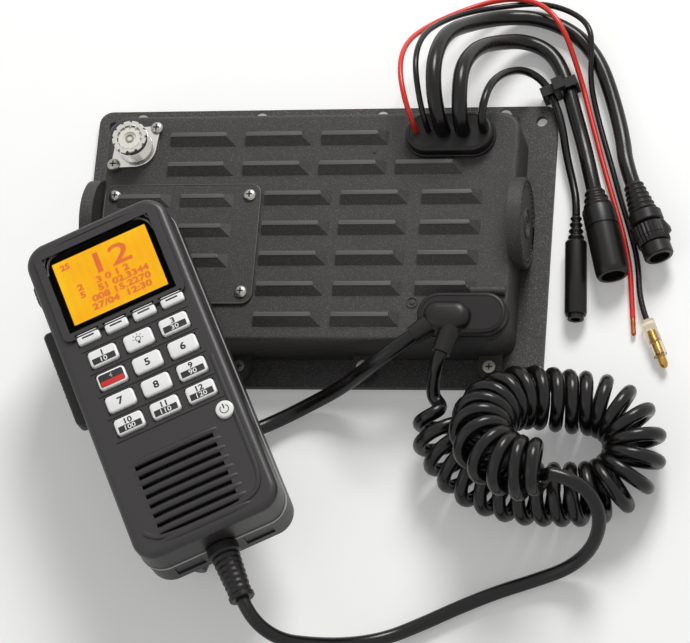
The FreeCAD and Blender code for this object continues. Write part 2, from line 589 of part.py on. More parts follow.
# Connectors at the cable ends
power_body, power_tip = turned_piece("power_body", power_end, POWER_WAY, [
    ("16", "4.4", "6.4"), ("5", "power_plug_radius", "power_plug_radius"),
    ("power_ring_length + 1", "power_plug_radius - 1.8", "power_plug_radius - 1.8"),
    ("6", "power_plug_radius - 1", "power_plug_radius - 1")])
keep("power_connector", power_body)
ring_start = onward(power_end, POWER_WAY, 21.5)
ring_outer, ring_tip = turned_piece("ring_outer", ring_start, POWER_WAY, [
    ("power_ring_length", "power_ring_radius", "power_ring_radius")])
ring_inner, spare_tip = turned_piece("ring_inner", onward(ring_start, POWER_WAY, -1), POWER_WAY, [
    ("power_ring_length + 2", "power_plug_radius - 1.8 + ring_clearance",
     "power_plug_radius - 1.8 + ring_clearance")])
keep("power_coupling_ring", cut("power_coupling_ring", ring_outer, [ring_inner]))
network_body, network_tip = turned_piece("network_connector", network_end, NETWORK_WAY, [
    ("6", "4.2", "network_plug_radius"),
    ("network_plug_length - 6", "network_plug_radius", "network_plug_radius")])
keep("network_connector", network_body)
alarm_body, alarm_tip = turned_piece("alarm_connector", alarm_end, ALARM_WAY, [
    ("13", "2.6", "3.6"), ("alarm_plug_length", "alarm_plug_radius", "alarm_plug_radius"),
    ("2", "alarm_plug_radius - 1.2", "alarm_plug_radius - 1.2")])
keep("alarm_connector", alarm_body)
sleeve_body, sleeve_tip = turned_piece("sleeve_body", black_end, BLACK_WAY, [
    ("sleeve_length", "sleeve_radius", "sleeve_radius")])
bullet_start = onward(black_end, BLACK_WAY, size("sleeve_length") - 6)
sleeve_bore, spare_tip = turned_piece("sleeve_bore", bullet_start, BLACK_WAY, [
    ("8", "bullet_radius + 0.05", "bullet_radius + 0.05")])
keep("bullet_sleeve", cut("bullet_sleeve", sleeve_body, [sleeve_bore]))
bullet, bullet_tip = turned_piece("bullet", bullet_start, BLACK_WAY, [
    ("bullet_length - 2", "bullet_radius", "bullet_radius"),
    ("2", "bullet_radius - 0.1", "bullet_radius - 0.8")])
red_stub, stub_tip = turned_piece("red_stub", red_end, RED_WAY, [("8", "1.1", "1.1")])
keep("wire_terminals", group("wire_terminals", [bullet, red_stub]))

# Cable tie round the two inner cables, just outside the plate's corner
TIE_TURN = -66
tie_frame = Placement(Vector(107, 73.8, 0), Rotation(Vector(0, 0, 1), TIE_TURN))


def tie_box(name, length, width, height, low):
    """A box across the two cables, centred on the tie."""
    thing = primitive("Box", name, None, Length=length, Width=width, Height=height)
    corner = Vector(-float(length) / 2, -float(width) / 2, low)
    thing.Placement = tie_frame.multiply(Placement(corner, Rotation()))
    return thing


tie_band = cut("tie_band", tie_box("tie_outer", "4.6", "17", "10", 0.1),
               [tie_box("tie_inner", "7", "15.2", "8", 1.1)])
keep("cable_tie", fuse("cable_tie", [tie_band, tie_box("tie_lump", "5.6", "5", "4", 9.5)]))

# Lead A: out of the boot, down to the ground and under the handset to an in-line connector
inline_z = size(RIB_TOP) / 2
INLINE_WAY = (-0.3, -0.954, 0)
inline_end = (-29, -108, inline_z)
lead = size("lead_radius")
tube("accessory_lead", squared([
    tuple(lead_a_start), tuple(onward(lead_a_start, LEAD_A_WAY, 9)), (34.5, -66, 26),
    (20, -71, 13), (5, -76, 5.5), (-9, -83, 4.2), (-19.5, -89.5, 8), inline_end],
    INLINE_WAY, 10), lead)
inline_body, inline_tip = turned_piece("accessory_connector", inline_end, INLINE_WAY, [
    ("14", "4.6", "7.5"), ("10", "inline_radius", "inline_radius"),
    ("15", f"{RIB_TOP} / 2", f"{RIB_TOP} / 2"), ("7", "inline_radius", "inline_radius")])
keep("accessory_connector", inline_body)

# Handset cord: a short lead, the coiled stretch as one fat tube, and the lead to the handset
cord = size("cord_radius")
coil = size("coil_radius")
coil_start = (64, -80, 20)
coil_points = [coil_start, (68, -97, 15.5), (80, -111, coil + 0.1), (98, -118, coil + 0.1),
               (118, -119, coil + 0.1), (138, -118, coil + 0.1), (150, -106.5, coil + 0.1),
               (150, -90, coil + 0.1), (138, -79, 15), (121, -78, 17), (100, -78, 25),
               (88.5, -89, 34.5), (88.5, -105, 43.5), (99, -116, 45.2), (116, -119, 44.5)]
coil_way = tuple(Vector(*coil_points[1]) - Vector(*coil_start))
lead_in = tube(None, squared([tuple(lead_b_start), tuple(onward(lead_b_start, LEAD_B_WAY, 5)),
                              coil_start], coil_way, 6), cord)
tube("curly_cord", coil_points, coil)

# Handset frame: its own origin is the middle of its back
hand_turn = Rotation(Vector(0, 0, 1), size("hand_turn"))
hand_place = Placement(Vector(size("hand_x"), size("hand_y"), size(HAND_Z)), hand_turn)


def keep_hand(label, thing):
    """Name a sub-part of the handset and place it on the box."""
    placed = group(label + "_placed", [thing])
    placed.Placement = hand_place
    return keep(label, placed)


FRONT = "(rear_depth + bead_depth)"
FACE = "(rear_depth + bead_depth + front_depth)"
HAND_FIXINGS = [(f"{a} * hand_screw_x", f"{b} * hand_screw_y") for a, b in SIGNS]

# Rear shell: a tray with screw posts, the plug's opening and two shallow panels at its foot
rear_block = rounded("rear_block", "hand_width", "hand_length", "rear_depth", "hand_corner")
rear_room = rounded("rear_room", "hand_width - 2 * hand_wall", "hand_length - 2 * hand_wall",
                    "rear_depth", "hand_corner - hand_wall", "hand_wall")
rear_posts = [post(f"rear_post_{i}", x, y, "hand_wall / 2", "hand_post_radius",
                   "rear_depth - hand_wall / 2") for i, (x, y) in enumerate(HAND_FIXINGS)]
rear_cuts = [post(f"rear_screw_{i}", x, y, "-1", "screw_radius + screw_clearance",
                  "rear_depth + 2") for i, (x, y) in enumerate(HAND_FIXINGS)]
rear_cuts += [post(f"rear_sink_{i}", x, y, "-1", "screw_head_radius + 0.2",
                   "screw_head_height + 1.3") for i, (x, y) in enumerate(HAND_FIXINGS)]
rear_cuts += [block(f"foot_panel_{i}", f"{sign} * hand_width / 4 - {sign} * 0.5",
                    "-hand_length / 2", "4", "13", "1.6", "8") for i, sign in enumerate((-1, 1))]
foot_way = Rotation(Vector(1, 0, 0), 90)
plug_room = primitive("Cylinder", "plug_room", (0, "-hand_length / 2 + hand_wall + 4",
                                                "plug_level"), foot_way,
                      Radius="plug_radius - 2 + 0.05", Height="12")
shell_core = cut("rear_hollow", rear_block, [rear_room])
keep_hand("rear_shell", cut("rear_shell", fuse("rear_all", [shell_core] + rear_posts),
                            rear_cuts + [plug_room]))

bead_outer = rounded("bead_outer", "hand_width + 0.8", "hand_length + 0.8", "bead_depth",
                     "hand_corner + 0.4", "rear_depth")
bead_inner = rounded("bead_inner", "hand_width - 2 * hand_wall", "hand_length - 2 * hand_wall",
                     "bead_depth + 2", "hand_corner - hand_wall", "rear_depth - 1")
bead_room = primitive("Cylinder", "bead_room", (0, "-hand_length / 2 + hand_wall + 4",
                                                "plug_level"), foot_way,
                      Radius="plug_radius - 2 + 0.05", Height="12")
keep_hand("shell_bead", cut("shell_bead", bead_outer, [bead_inner, bead_room]))


def key_places():
    """Each key's name, centre, length and width: four soft keys, twelve keys and a power key."""
    places = []
    for column in range(4):
        places.append((f"soft_key_{column + 1}", f"key_centre + ({column} - 1.5) * soft_pitch",
                       "soft_row", "soft_length", "soft_width"))
    for row in range(4):
        for column in range(3):
            places.append((f"key_{row * 3 + column + 1}",
                           f"key_centre + ({column} - 1) * key_column_pitch",
                           f"key_first_row - {row} * key_row_pitch", "key_length", "key_width"))
    return places


# Front shell: a domed lid with openings for the window, keys, sound and side controls
front_block = rounded("front_block", "hand_width", "hand_length", "front_depth", "hand_corner",
                      FRONT, edge="hand_edge")
bezel = rounded("bezel", "window_length + 2 * bezel_border", "window_width + 2 * bezel_border",
                "bezel_height + 1", "3", f"{FACE} - 1", "0", "window_y")
front_room = rounded("front_room", "hand_width - 2 * hand_wall", "hand_length - 2 * hand_wall",
                     "front_depth - face_wall", "hand_corner - hand_wall", FRONT)
WINDOW_SEAT = f"({FACE} + bezel_height - window_thickness - 0.4)"
front_cuts = [front_room]
front_cuts.append(primitive("Cylinder", "plug_notch", (0, "-hand_length / 2 + hand_wall + 4",
                                                       "plug_level"), foot_way,
                            Radius="plug_radius - 2 + 0.05", Height="12"))
front_cuts.append(block("window_rebate", 0, "window_y", WINDOW_SEAT, "window_length + 0.1",
                        "window_width + 0.1", "9"))
front_cuts.append(block("window_hole", 0, "window_y", f"{FACE} - face_wall - 3", "lcd_length + 0.2",
                        "lcd_width + 0.2", "12"))
for name, x, y, length, width in key_places():
    front_cuts.append(block(f"{name}_hole", x, y, f"{FACE} - face_wall - 1",
                            f"{length} + 2 * key_clearance", f"{width} + 2 * key_clearance", "9"))
front_cuts.append(post("power_hole", "power_x", "power_y", f"{FACE} - face_wall - 1",
                       "power_radius + key_clearance", "9"))
for slot in range(8):
    front_cuts.append(block(f"grille_slot_{slot}", "-2", f"grille_first - {slot} * grille_pitch",
                            f"{FACE} - face_wall - 1", "grille_length - 8", "grille_slot", "9"))
side_cut = "hand_wall + 2"
front_cuts.append(block("ptt_hole", "-hand_width / 2", "ptt_y", "side_level",
                        side_cut + " + 4", "ptt_length + 2 * key_clearance",
                        "ptt_height + 2 * key_clearance"))
front_cuts.append(block("side_key_hole", "-hand_width / 2", "side_key_y", "side_level + 1",
                        side_cut + " + 4", "side_key_length + 2 * key_clearance",
                        "side_key_height + 2 * key_clearance"))
front_posts = [post(f"front_post_{i}", x, y, FRONT, "hand_post_radius", "front_depth - 1")
               for i, (x, y) in enumerate(HAND_FIXINGS)]
KEY_FLOOR = f"({FACE} - face_wall - key_skirt_height - 0.3)"
MAT_TOP = f"({KEY_FLOOR} - key_travel - 0.2)"
MAT_BOTTOM = f"({MAT_TOP} - mat_thickness)"
PEGS = [("-peg_upper_x", "peg_upper_y"), ("peg_upper_x", "peg_upper_y"),
        ("-peg_left", "peg_lower_y"), ("peg_right", "peg_lower_y")]
front_posts += [post(f"board_peg_{i}", x, y, MAT_BOTTOM, "peg_radius",
                     f"{FACE} - face_wall / 2 - {MAT_BOTTOM}") for i, (x, y) in enumerate(PEGS)]
post_bores = [post(f"post_bore_{i}", x, y, f"{FRONT} - 1", "screw_radius + screw_clearance", "8")
              for i, (x, y) in enumerate(HAND_FIXINGS)]
front_core = cut("front_core", fuse("front_with_bezel", [front_block, bezel]), front_cuts)
keep_hand("front_shell", cut("front_shell", fuse("front_all", [front_core] + front_posts),
                             post_bores))

keep_hand("display_window", block("display_window_glass", 0, "window_y", WINDOW_SEAT,
                                  "window_length", "window_width", "window_thickness"))
keep_hand("lcd_panel", block("lcd_panel_block", 0, "window_y", f"{WINDOW_SEAT} - lcd_thickness",
                             "lcd_length", "lcd_width", "lcd_thickness"))

# Keys, each with a skirt under the face, on a rubber mat over the keypad board
for name, x, y, length, width in key_places():
    skirt = block(f"{name}_skirt", x, y, KEY_FLOOR, f"{length} + 2 * key_skirt",
                  f"{width} + 2 * key_skirt", "key_skirt_height")
    cap = block(f"{name}_cap", x, y, f"{KEY_FLOOR} + 0.5", length, width,
                f"face_wall + key_skirt_height - 0.2 + key_proud")
    keep_hand(name, fuse(name + "_whole", [skirt, cap]))
power_skirt = post("power_skirt", "power_x", "power_y", KEY_FLOOR, "power_radius + key_skirt",
                   "key_skirt_height")
power_cap = post("power_cap", "power_x", "power_y", f"{KEY_FLOOR} + 0.5", "power_radius",
                 "face_wall + key_skirt_height - 0.2 + key_proud")
keep_hand("power_key", fuse("power_key_whole", [power_skirt, power_cap]))
mat = block("mat_sheet", "mat_centre", "mat_y", MAT_BOTTOM, "mat_length", "mat_width",
            "mat_thickness")
mat_holes = [post(f"mat_hole_{i}", x, y, f"{MAT_BOTTOM} - 1", "peg_radius + peg_clearance",
                  "mat_thickness + 2") for i, (x, y) in enumerate(PEGS)]
keep_hand("keypad_mat", cut("mat_with_holes", mat, mat_holes))
keep_hand("keypad_board", block("keypad_board_sheet", "mat_centre", "keypad_board_y",
                                f"{MAT_BOTTOM} - board_thickness", "mat_length",
                                "keypad_board_width", "board_thickness"))

# Side controls: a long push-to-talk lever and a small key, pressed towards the middle
SIDE_SPAN = "hand_width / 2 - hand_wall"
for label, y, length, height, proud, level in (
        ("ptt_button", "ptt_y", "ptt_length", "ptt_height", "ptt_proud",
         "side_level + key_clearance"),
        ("side_key", "side_key_y", "side_key_length", "side_key_height", "side_proud",
         "side_level + 1 + key_clearance")):
    cap = block(f"{label}_cap", f"-hand_width / 2 + (hand_wall - {proud}) / 2 + 0.4", y, level,
                f"hand_wall + {proud} + 0.8", length, height)
    flange = block(f"{label}_flange", f"-({SIDE_SPAN}) + side_flange / 2 + 0.3", y,
                   f"{level} - 0.8", "side_flange", f"{length} + 3", f"{height} + 1.6")
    keep_hand(label, fuse(label + "_whole", [cap, flange]))

# Loudspeaker, microphone and shell screws
keep_hand("loudspeaker", post("loudspeaker_drum", 0, "speaker_y",
                              f"{FACE} - face_wall - speaker_depth", "speaker_radius",
                              "speaker_depth"))
keep_hand("microphone", post("microphone_capsule", "microphone_x", "microphone_y",
                             f"{FACE} - face_wall - microphone_depth", "microphone_radius",
                             "microphone_depth"))
shell_screws = []
for i, (x, y) in enumerate(HAND_FIXINGS):
    head = post(f"shell_screw_head_{i}", x, y, "0.3", "screw_head_radius", "screw_head_height")
    stem = post(f"shell_screw_stem_{i}", x, y, "1", "screw_radius", "rear_depth + bead_depth + 5")
    shell_screws.append(fuse(f"shell_screw_{i}", [head, stem]))
keep_hand("shell_screws", group("shell_screws_all", shell_screws))

# Cord plug at the foot of the handset
plug_steps = []
for number, (start, length, first, last) in enumerate((
        ("-hand_wall - 3", "hand_wall + 3.5", "plug_radius - 2", "plug_radius - 2"),
        ("0.45", "plug_flange + 3", "plug_radius", "plug_radius"),
        ("plug_flange + 3.4", "plug_length - plug_flange - 7.4", "plug_radius - 0.8",
         "plug_radius - 1.8"),
        ("plug_length - 4.05", "4.05", "plug_radius - 1.2", "plug_radius - 1.6"))):
    step = primitive("Cone", f"plug_step_{number}", (0, f"-hand_length / 2 - ({start})",
                                                     "plug_level"), foot_way,
                     Radius1=first, Radius2=f"{last} - 0.001", Height=length)
    plug_steps.append(step)
keep_hand("cord_plug", fuse("cord_plug_whole", plug_steps))

# Lead from the coil to the plug on the handset
plug_tip = hand_place.multVec(Vector(0, -size("hand_length / 2 + plug_length"),
                                     size("plug_level")))
plug_way = hand_turn.multVec(Vector(0, -1, 0))
lead_out = tube(None, squared([
    (116, -119, 44.5), (125.5, -120.68, 44.11), (135.5, -125, 40), (140, -134, 30),
    (135, -143, 17), (124, -149, 7), (109, -153.5, cord + 0.2), (93, -159, cord + 0.2),
    (77, -166, cord + 0.2), (61, -174, cord + 0.3), (47, -181, 5.5), (33, -186, 13),
    (20, -189.5, 25), (8, -191, 36), tuple(plug_tip)], tuple(plug_way * -1), 9), cord)
keep("cord_leads", group("cord_leads", [lead_in, lead_out]))

doc.recompute()
failed = [thing.Name for thing in doc.Objects if {"Invalid", "Error"} & set(thing.State)]
if failed:
    raise RuntimeError("these did not build: " + ", ".join(failed))
for label, thing in nodes.items():
    if thing.Shape.isNull() or not thing.Shape.isValid():
        raise RuntimeError(label + " is not a valid solid")
for label, thing in nodes.items():
    thing.Shape.exportStep(f"parts/{label}.step")
print(len(nodes), "sub-parts,", sum(len(thing.Shape.Solids) for thing in nodes.values()), "solids")
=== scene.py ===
# %% [markdown]
# A marine radio: a flat ribbed box whose cables come out of its face, and a wired handset that
# lies on it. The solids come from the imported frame. This lesson gives them their finishes,
# replaces the plain ones with modelled pieces, and lays the cords as smooth curves.

import math

import bmesh
import bpy
import numpy as np
from mathutils import Matrix, Vector


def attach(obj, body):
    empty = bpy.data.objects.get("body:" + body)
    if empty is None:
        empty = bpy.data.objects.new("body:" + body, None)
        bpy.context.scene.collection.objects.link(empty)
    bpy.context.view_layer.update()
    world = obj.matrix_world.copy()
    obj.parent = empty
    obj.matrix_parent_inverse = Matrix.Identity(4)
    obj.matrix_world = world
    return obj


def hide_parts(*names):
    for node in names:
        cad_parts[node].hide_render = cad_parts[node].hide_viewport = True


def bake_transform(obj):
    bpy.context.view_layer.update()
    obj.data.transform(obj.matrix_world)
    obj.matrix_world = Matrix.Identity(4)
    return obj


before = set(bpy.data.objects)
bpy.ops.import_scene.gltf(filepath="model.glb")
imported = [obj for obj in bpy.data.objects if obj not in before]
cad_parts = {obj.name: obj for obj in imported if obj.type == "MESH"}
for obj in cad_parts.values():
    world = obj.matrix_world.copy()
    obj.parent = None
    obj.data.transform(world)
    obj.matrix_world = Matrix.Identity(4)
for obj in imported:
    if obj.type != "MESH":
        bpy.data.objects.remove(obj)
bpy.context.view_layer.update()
scene = bpy.context.scene
MM = 0.001


def unit(way):
    """A vector at length one."""
    return np.asarray(way, float) / np.linalg.norm(way)


# %% [markdown]
# The camera looks down on the face from the lower right, with its upright tipped a little. A
# long lens far away keeps parallel edges parallel, as the real picture does. The camera's three
# directions are written as vectors, and its place follows from the point that it aims at.

# %% Camera
RIGHT = np.array([0.975, 0.079, -0.2053])
UP = np.array([0.0, 0.9333, 0.359])
TOWARDS = np.array([0.22, -0.35, 0.91])
AIM = 13.0 * RIGHT - 32.6 * UP
DISTANCE = 1500

camera_data = bpy.data.cameras.new("camera")
camera_data.lens = 175
camera_data.sensor_width = 36
camera = bpy.data.objects.new("camera", camera_data)
scene.collection.objects.link(camera)
axes = [unit(axis) for axis in (RIGHT, UP, TOWARDS)]
place = (AIM + DISTANCE * axes[2]) * MM
camera.matrix_world = Matrix(np.column_stack([*axes, place]).tolist() + [[0, 0, 0, 1]])
scene.camera = camera
print("camera at", np.round(place, 3), "m")

# %% [markdown]
# A finish or a background is a small net of shader nodes. Three functions build such nets: one
# fills a node's inputs, one adds a node, and one mixes two colours.

# %% Shader nodes
def fill(tree, node, inputs):
    """Set a node's named inputs: another node's output is linked, anything else is a value."""
    for name, value in inputs.items():
        if isinstance(value, bpy.types.NodeSocket):
            tree.links.new(value, node.inputs[name])
        else:
            node.inputs[name].default_value = value
    return node


def add(tree, kind, inputs):
    """A new node of a kind, with its inputs filled."""
    return fill(tree, tree.nodes.new("ShaderNode" + kind), inputs)


def mix(tree, factor, a, b, blend="MIX"):
    """The colour between a and b by a factor, or another blend of the two."""
    made = tree.nodes.new("ShaderNodeMix")
    made.data_type = "RGBA"
    made.blend_type = blend
    return fill(tree, made, {"Factor": factor, "A": a, "B": b}).outputs["Result"]


print("node functions ready")

# %% [markdown]
# The light is a plain studio: a large soft lamp beyond the upper edge of the box lights the top of
# each rib, whose paler crest adds a painted highlight, and a weak fill comes from the near side.
# The world and the floor look nearly white, but light the dark castings less than that or not at
# all, so one function sets apart how bright they look and how much they light.

# %% Floor, world and lamps
scene.view_settings.view_transform = "Standard"


def lamp(name, position, target, size, power):
    """An area lamp at a position, turned to a target, in metres and watts."""
    data = bpy.data.lights.new(name, "AREA")
    data.size = size
    data.energy = power
    thing = bpy.data.objects.new(name, data)
    thing.location = position
    thing.rotation_euler = (Vector(target) - Vector(position)).to_track_quat("-Z", "Y").to_euler()
    scene.collection.objects.link(thing)


def background(tree, on_things, seen):
    """A strength that is one value for light on things and another where it is seen itself.

    It counts as seen by the camera, in a glossy reflection and through clear plastic."""
    rays = tree.nodes.new("ShaderNodeLightPath")
    either = rays.outputs["Is Camera Ray"]
    for kind in ("Is Glossy Ray", "Is Transmission Ray"):
        larger = tree.nodes.new("ShaderNodeMath")
        larger.operation = "MAXIMUM"
        tree.links.new(either, larger.inputs[0])
        tree.links.new(rays.outputs[kind], larger.inputs[1])
        either = larger.outputs["Value"]
    strength = add(tree, "MapRange", {"To Min": on_things, "To Max": seen, "Value": either})
    return strength.outputs["Result"]


lamp("key_lamp", (0.4, 1.35, 1.25), (0, 0, 0), 0.7, 29)
lamp("fill_lamp", (-1.0, -0.9, 1.3), (0, -0.05, 0), 1.2, 2.2)

world = bpy.data.worlds.new("studio")
scene.world = world
world.use_nodes = True
fill(world.node_tree, world.node_tree.nodes["Background"],
     {"Color": (1, 1, 1, 1), "Strength": background(world.node_tree, 0.3, 0.95)})

FLOOR_HALF, FLOOR_LEVEL = 4.0, -0.0005
floor_mesh = bpy.data.meshes.new("floor")
floor_mesh.from_pydata([(a * FLOOR_HALF, b * FLOOR_HALF, FLOOR_LEVEL)
                        for a, b in ((-1, -1), (1, -1), (1, 1), (-1, 1))], [], [(0, 1, 2, 3)])
floor = bpy.data.objects.new("floor", floor_mesh)
scene.collection.objects.link(floor)
print("studio ready")

# %% [markdown]
# Every finish is built the same way: one noise spreads the colour a little, a second one, much
# finer, moves the roughness and raises the grain. Object coordinates are in metres, so a scale
# of 1000 gives a grain of about a millimetre. A function makes such a finish from plain words,
# and special ones, such as the lit display, add to it.

# %% Finishes
def paint(code):
    """A linear colour from a hex code such as #808080."""
    channels = [int(code[i:i + 2], 16) / 255 for i in (1, 3, 5)]
    return [c / 12.92 if c <= 0.04045 else ((c + 0.055) / 1.055) ** 2.4 for c in channels] + [1]


def shade(colour, share):
    """A colour made lighter or darker by a share."""
    return [min(1, c * share) for c in colour[:3]] + [1]


def finish(name, code, rough, metal=0.0, spread=0.12, spread_scale=90, grain=0.0,
           scale=1200, depth=0.1, rough_spread=0.08, coat=0.0, gloss=0.5, specks=None):
    """A finish: colour and roughness moved by noise, and a grain whose depth is in millimetres.

    With specks, the peaks of the grain take that second colour, as on a coarse powder coat."""
    made = bpy.data.materials.new(name)
    made.use_nodes = True
    tree = made.node_tree
    shader = tree.nodes["Principled BSDF"]
    own_place = tree.nodes.new("ShaderNodeTexCoord").outputs["Object"]
    broad = add(tree, "TexNoise", {"Scale": spread_scale, "Detail": 4, "Vector": own_place})
    fine = add(tree, "TexNoise", {"Scale": scale, "Detail": 2, "Vector": own_place})
    colour = mix(tree, broad.outputs["Fac"], shade(paint(code), 1 - spread),
                 shade(paint(code), 1 + spread))
    if specks:
        peaks = add(tree, "MapRange", {"From Min": 0.56, "From Max": 0.66,
                                       "Value": fine.outputs["Fac"]})
        colour = mix(tree, peaks.outputs["Result"], colour, paint(specks))
    roughness = add(tree, "MapRange", {"To Min": max(0.02, rough - rough_spread),
                                       "To Max": min(1, rough + rough_spread),
                                       "Value": fine.outputs["Fac"]})
    fill(tree, shader, {"Metallic": metal, "Coat Weight": coat, "Specular IOR Level": gloss,
                        "Base Color": colour, "Roughness": roughness.outputs["Result"]})
    if grain:
        bump = add(tree, "Bump", {"Strength": grain, "Distance": depth * MM,
                                  "Height": fine.outputs["Fac"]})
        fill(tree, shader, {"Normal": bump.outputs["Normal"]})
    return made


FINISH = {
    "casting": finish("textured_casting", "#232120", 0.62, grain=0.8, scale=2700,
                      depth=0.13, specks="#5a5654"),
    "plate": finish("powder_coat", "#2b2928", 0.6, grain=0.8, scale=2500, depth=0.14,
                    specks="#6c6866"),
    "cover": finish("cover_casting", "#211f1e", 0.6, grain=0.8, scale=2700, depth=0.12,
                    specks="#545150"),
    # A paler casting for the rib crests and the cover's edge: painted highlight.
    "edge": finish("pale_highlight_casting", "#4d4a48", 0.42, spread=0.15, grain=0.4, scale=2300,
                   depth=0.06),
    "rubber": finish("black_rubber", "#151211", 0.38, grain=0.15, scale=700, depth=0.05,
                     gloss=0.3),
    "jacket": finish("cable_jacket", "#120f0e", 0.25, grain=0.08, scale=500, depth=0.04,
                     gloss=0.3),
    "curl": finish("curl_jacket", "#120f0e", 0.24, grain=0.08, scale=500, depth=0.03,
                   gloss=0.32),
    "red": finish("red_wire", "#d92a1c", 0.35, spread=0.06, grain=0.05, depth=0.03),
    "moulding": finish("connector_plastic", "#151211", 0.36, grain=0.25, scale=1500,
                       depth=0.06, gloss=0.3),
    "shell": finish("handset_plastic", "#262323", 0.4, spread=0.08, grain=0.55,
                    scale=2400, depth=0.06),
    "shell_back": finish("handset_back_plastic", "#1f1d1d", 0.45, spread=0.08, grain=0.5,
                         scale=2400, depth=0.07),
    "seal": finish("pale_seal", "#a9a9a6", 0.4, spread=0.05, grain=0.05),
    "key": finish("white_key", "#f7f7f5", 0.28, spread=0.02, grain=0.04, depth=0.03, coat=0.3),
    # Black ink for the print, also used for the dark crosses of the screws: painted shade of their
    # slots.
    "ink": finish("black_ink_and_slot_shade", "#100e0e", 0.5, spread=0.1),
    "red_ink": finish("red_ink", "#d8271d", 0.45, spread=0.05),
    "nickel": finish("nickel", "#d3d1cb", 0.2, metal=1.0, spread=0.05, grain=0.1,
                     scale=900, depth=0.04),
    "screw": finish("bright_screws", "#a5a29c", 0.32, metal=1.0, spread=0.15),
    "dark_screw": finish("dark_screws", "#2a2829", 0.4, metal=0.6, spread=0.15),
    "insulator": finish("insulator_white", "#e6e2d8", 0.45, spread=0.04),
    "brass": finish("brass_contact", "#b08a44", 0.3, metal=1.0, spread=0.2, spread_scale=400),
    "copper": finish("copper_wire", "#b5603a", 0.35, metal=1.0, spread=0.2, spread_scale=600),
    "board": finish("circuit_board", "#1d4a2a", 0.45, spread=0.15),
    "speaker": finish("speaker_metal", "#151515", 0.6, metal=0.2, spread=0.2),
    "mat": finish("keypad_mat", "#3a3938", 0.7, spread=0.1),
    "floor": finish("floor_paper", "#f3f3f1", 0.9, spread=0.01),
}


def clear(name, code, rough, ior=1.45):
    """A see-through plastic with a slight tint."""
    made = finish(name, code, rough, spread=0.03, rough_spread=0.02)
    fill(made.node_tree, made.node_tree.nodes["Principled BSDF"],
         {"Transmission Weight": 1.0, "IOR": ior})
    return made


FINISH["sleeve"] = clear("clear_sleeve", "#f4ead8", 0.12)
FINISH["glass"] = clear("window_glass", "#ffffff", 0.02, ior=1.12)


HAND_TURN = math.radians(26)
DOT_CELL = 0.6 * MM
WAVE_RADIANS = 20


def lit(name, low, high, strength):
    """A backlit display: colour drifts from low to high, under faint bands that turn with it.

    A wave texture of scale 1 runs through 20 radians a metre."""
    made = finish(name, "#241a08", 0.35, spread=0.04)
    tree = made.node_tree
    own_place = [n for n in tree.nodes if n.type == "TEX_COORD"][0].outputs["Object"]
    broad = [n for n in tree.nodes if n.type == "TEX_NOISE"][0]
    broad.inputs["Scale"].default_value = 45
    turn = add(tree, "Mapping", {"Rotation": (0, 0, -HAND_TURN), "Vector": own_place})
    bands = add(tree, "TexWave", {"Scale": 1 / DOT_CELL / WAVE_RADIANS,
                                  "Vector": turn.outputs["Vector"]})
    glow = mix(tree, broad.outputs["Fac"], paint(low), paint(high))
    dots = mix(tree, 0.04, glow, bands.outputs["Color"], "MULTIPLY")
    fill(tree, tree.nodes["Principled BSDF"],
         {"Emission Color": dots, "Emission Strength": strength})
    return made


FINISH["lcd"] = lit("display_amber", "#f29610", "#fdd22c", 1.0)
FINISH["lcd_ink"] = lit("display_ink", "#d85a04", "#e86c08", 0.95)
floor_tree = FINISH["floor"].node_tree
fill(floor_tree, floor_tree.nodes["Principled BSDF"],
     {"Emission Color": (1, 1, 1, 1), "Emission Strength": background(floor_tree, 0, 0.2)})
floor.data.materials.append(FINISH["floor"])
print("finishes:", ", ".join(sorted(FINISH)))

# %% [markdown]
# A shape here is a pair: an array of points in millimetres and a list of faces. Most are lofts:
# closed outlines stacked in order, with a face at each end. Lathed pieces, rounded blocks and
# tubes are only different ways to work the outlines out.

# %% Shapes from arrays
def full_turn(count):
    """Angles spaced evenly round a circle."""
    return np.linspace(0, 2 * np.pi, count, endpoint=False)


def at_height(path, height):
    """Points by 2 lifted to a height."""
    return np.column_stack([path, np.full(len(path), height)])


def quads(rows, columns, closed=False):
    """Faces between neighbouring outlines, and from the last to the first when closed."""
    i, j = np.meshgrid(np.arange(rows if closed else rows - 1), np.arange(columns),
                       indexing="ij")
    k, m = (j + 1) % columns, (i + 1) % rows
    return np.stack([i * columns + j, i * columns + k, m * columns + k, m * columns + j],
                    axis=-1).reshape(-1, 4).tolist()


def loft(sections):
    """Closed outlines, sections by points by 3, joined by quads and closed by two faces."""
    sections = np.asarray(sections, float)
    rows, columns = sections.shape[:2]
    first = list(range(columns))[::-1]
    last = list(range((rows - 1) * columns, rows * columns))
    return sections.reshape(-1, 3), quads(rows, columns) + [first, last]


def loop(sections):
    """Closed outlines carried round a closed path, the last joined to the first."""
    sections = np.asarray(sections, float)
    return sections.reshape(-1, 3), quads(*sections.shape[:2], closed=True)


def square_to(way):
    """A way at length one, and two unit directions square to it, the first as level as can be."""
    way = unit(way)
    level = np.cross((0, 0, 1), way) if abs(way[2]) < 0.9 else np.cross(way, (0, 1, 0))
    level = unit(level)
    return way, level, np.cross(way, level)


def lathe(start, way, profile, sides=40, ripple=None):
    """A turned piece: point = start + way d + r(d, t) (level cos t + other sin t).

    The profile is a list of distance and radius; ripple(d, t) is added to the radius."""
    way, level, other = square_to(way)
    along, radius = np.array(profile, float).T
    t = full_turn(sides)
    reach = radius[:, None] + (ripple(along[:, None], t[None, :]) if ripple else 0 * t)
    ring = level[None, :] * np.cos(t)[:, None] + other[None, :] * np.sin(t)[:, None]
    return loft(np.asarray(start, float) + along[:, None, None] * way + reach[..., None] * ring)


def upright(x, y, base, profile, sides=40, ripple=None):
    """A turned piece that stands upright at a place."""
    return lathe((x, y, base), (0, 0, 1), profile, sides, ripple)


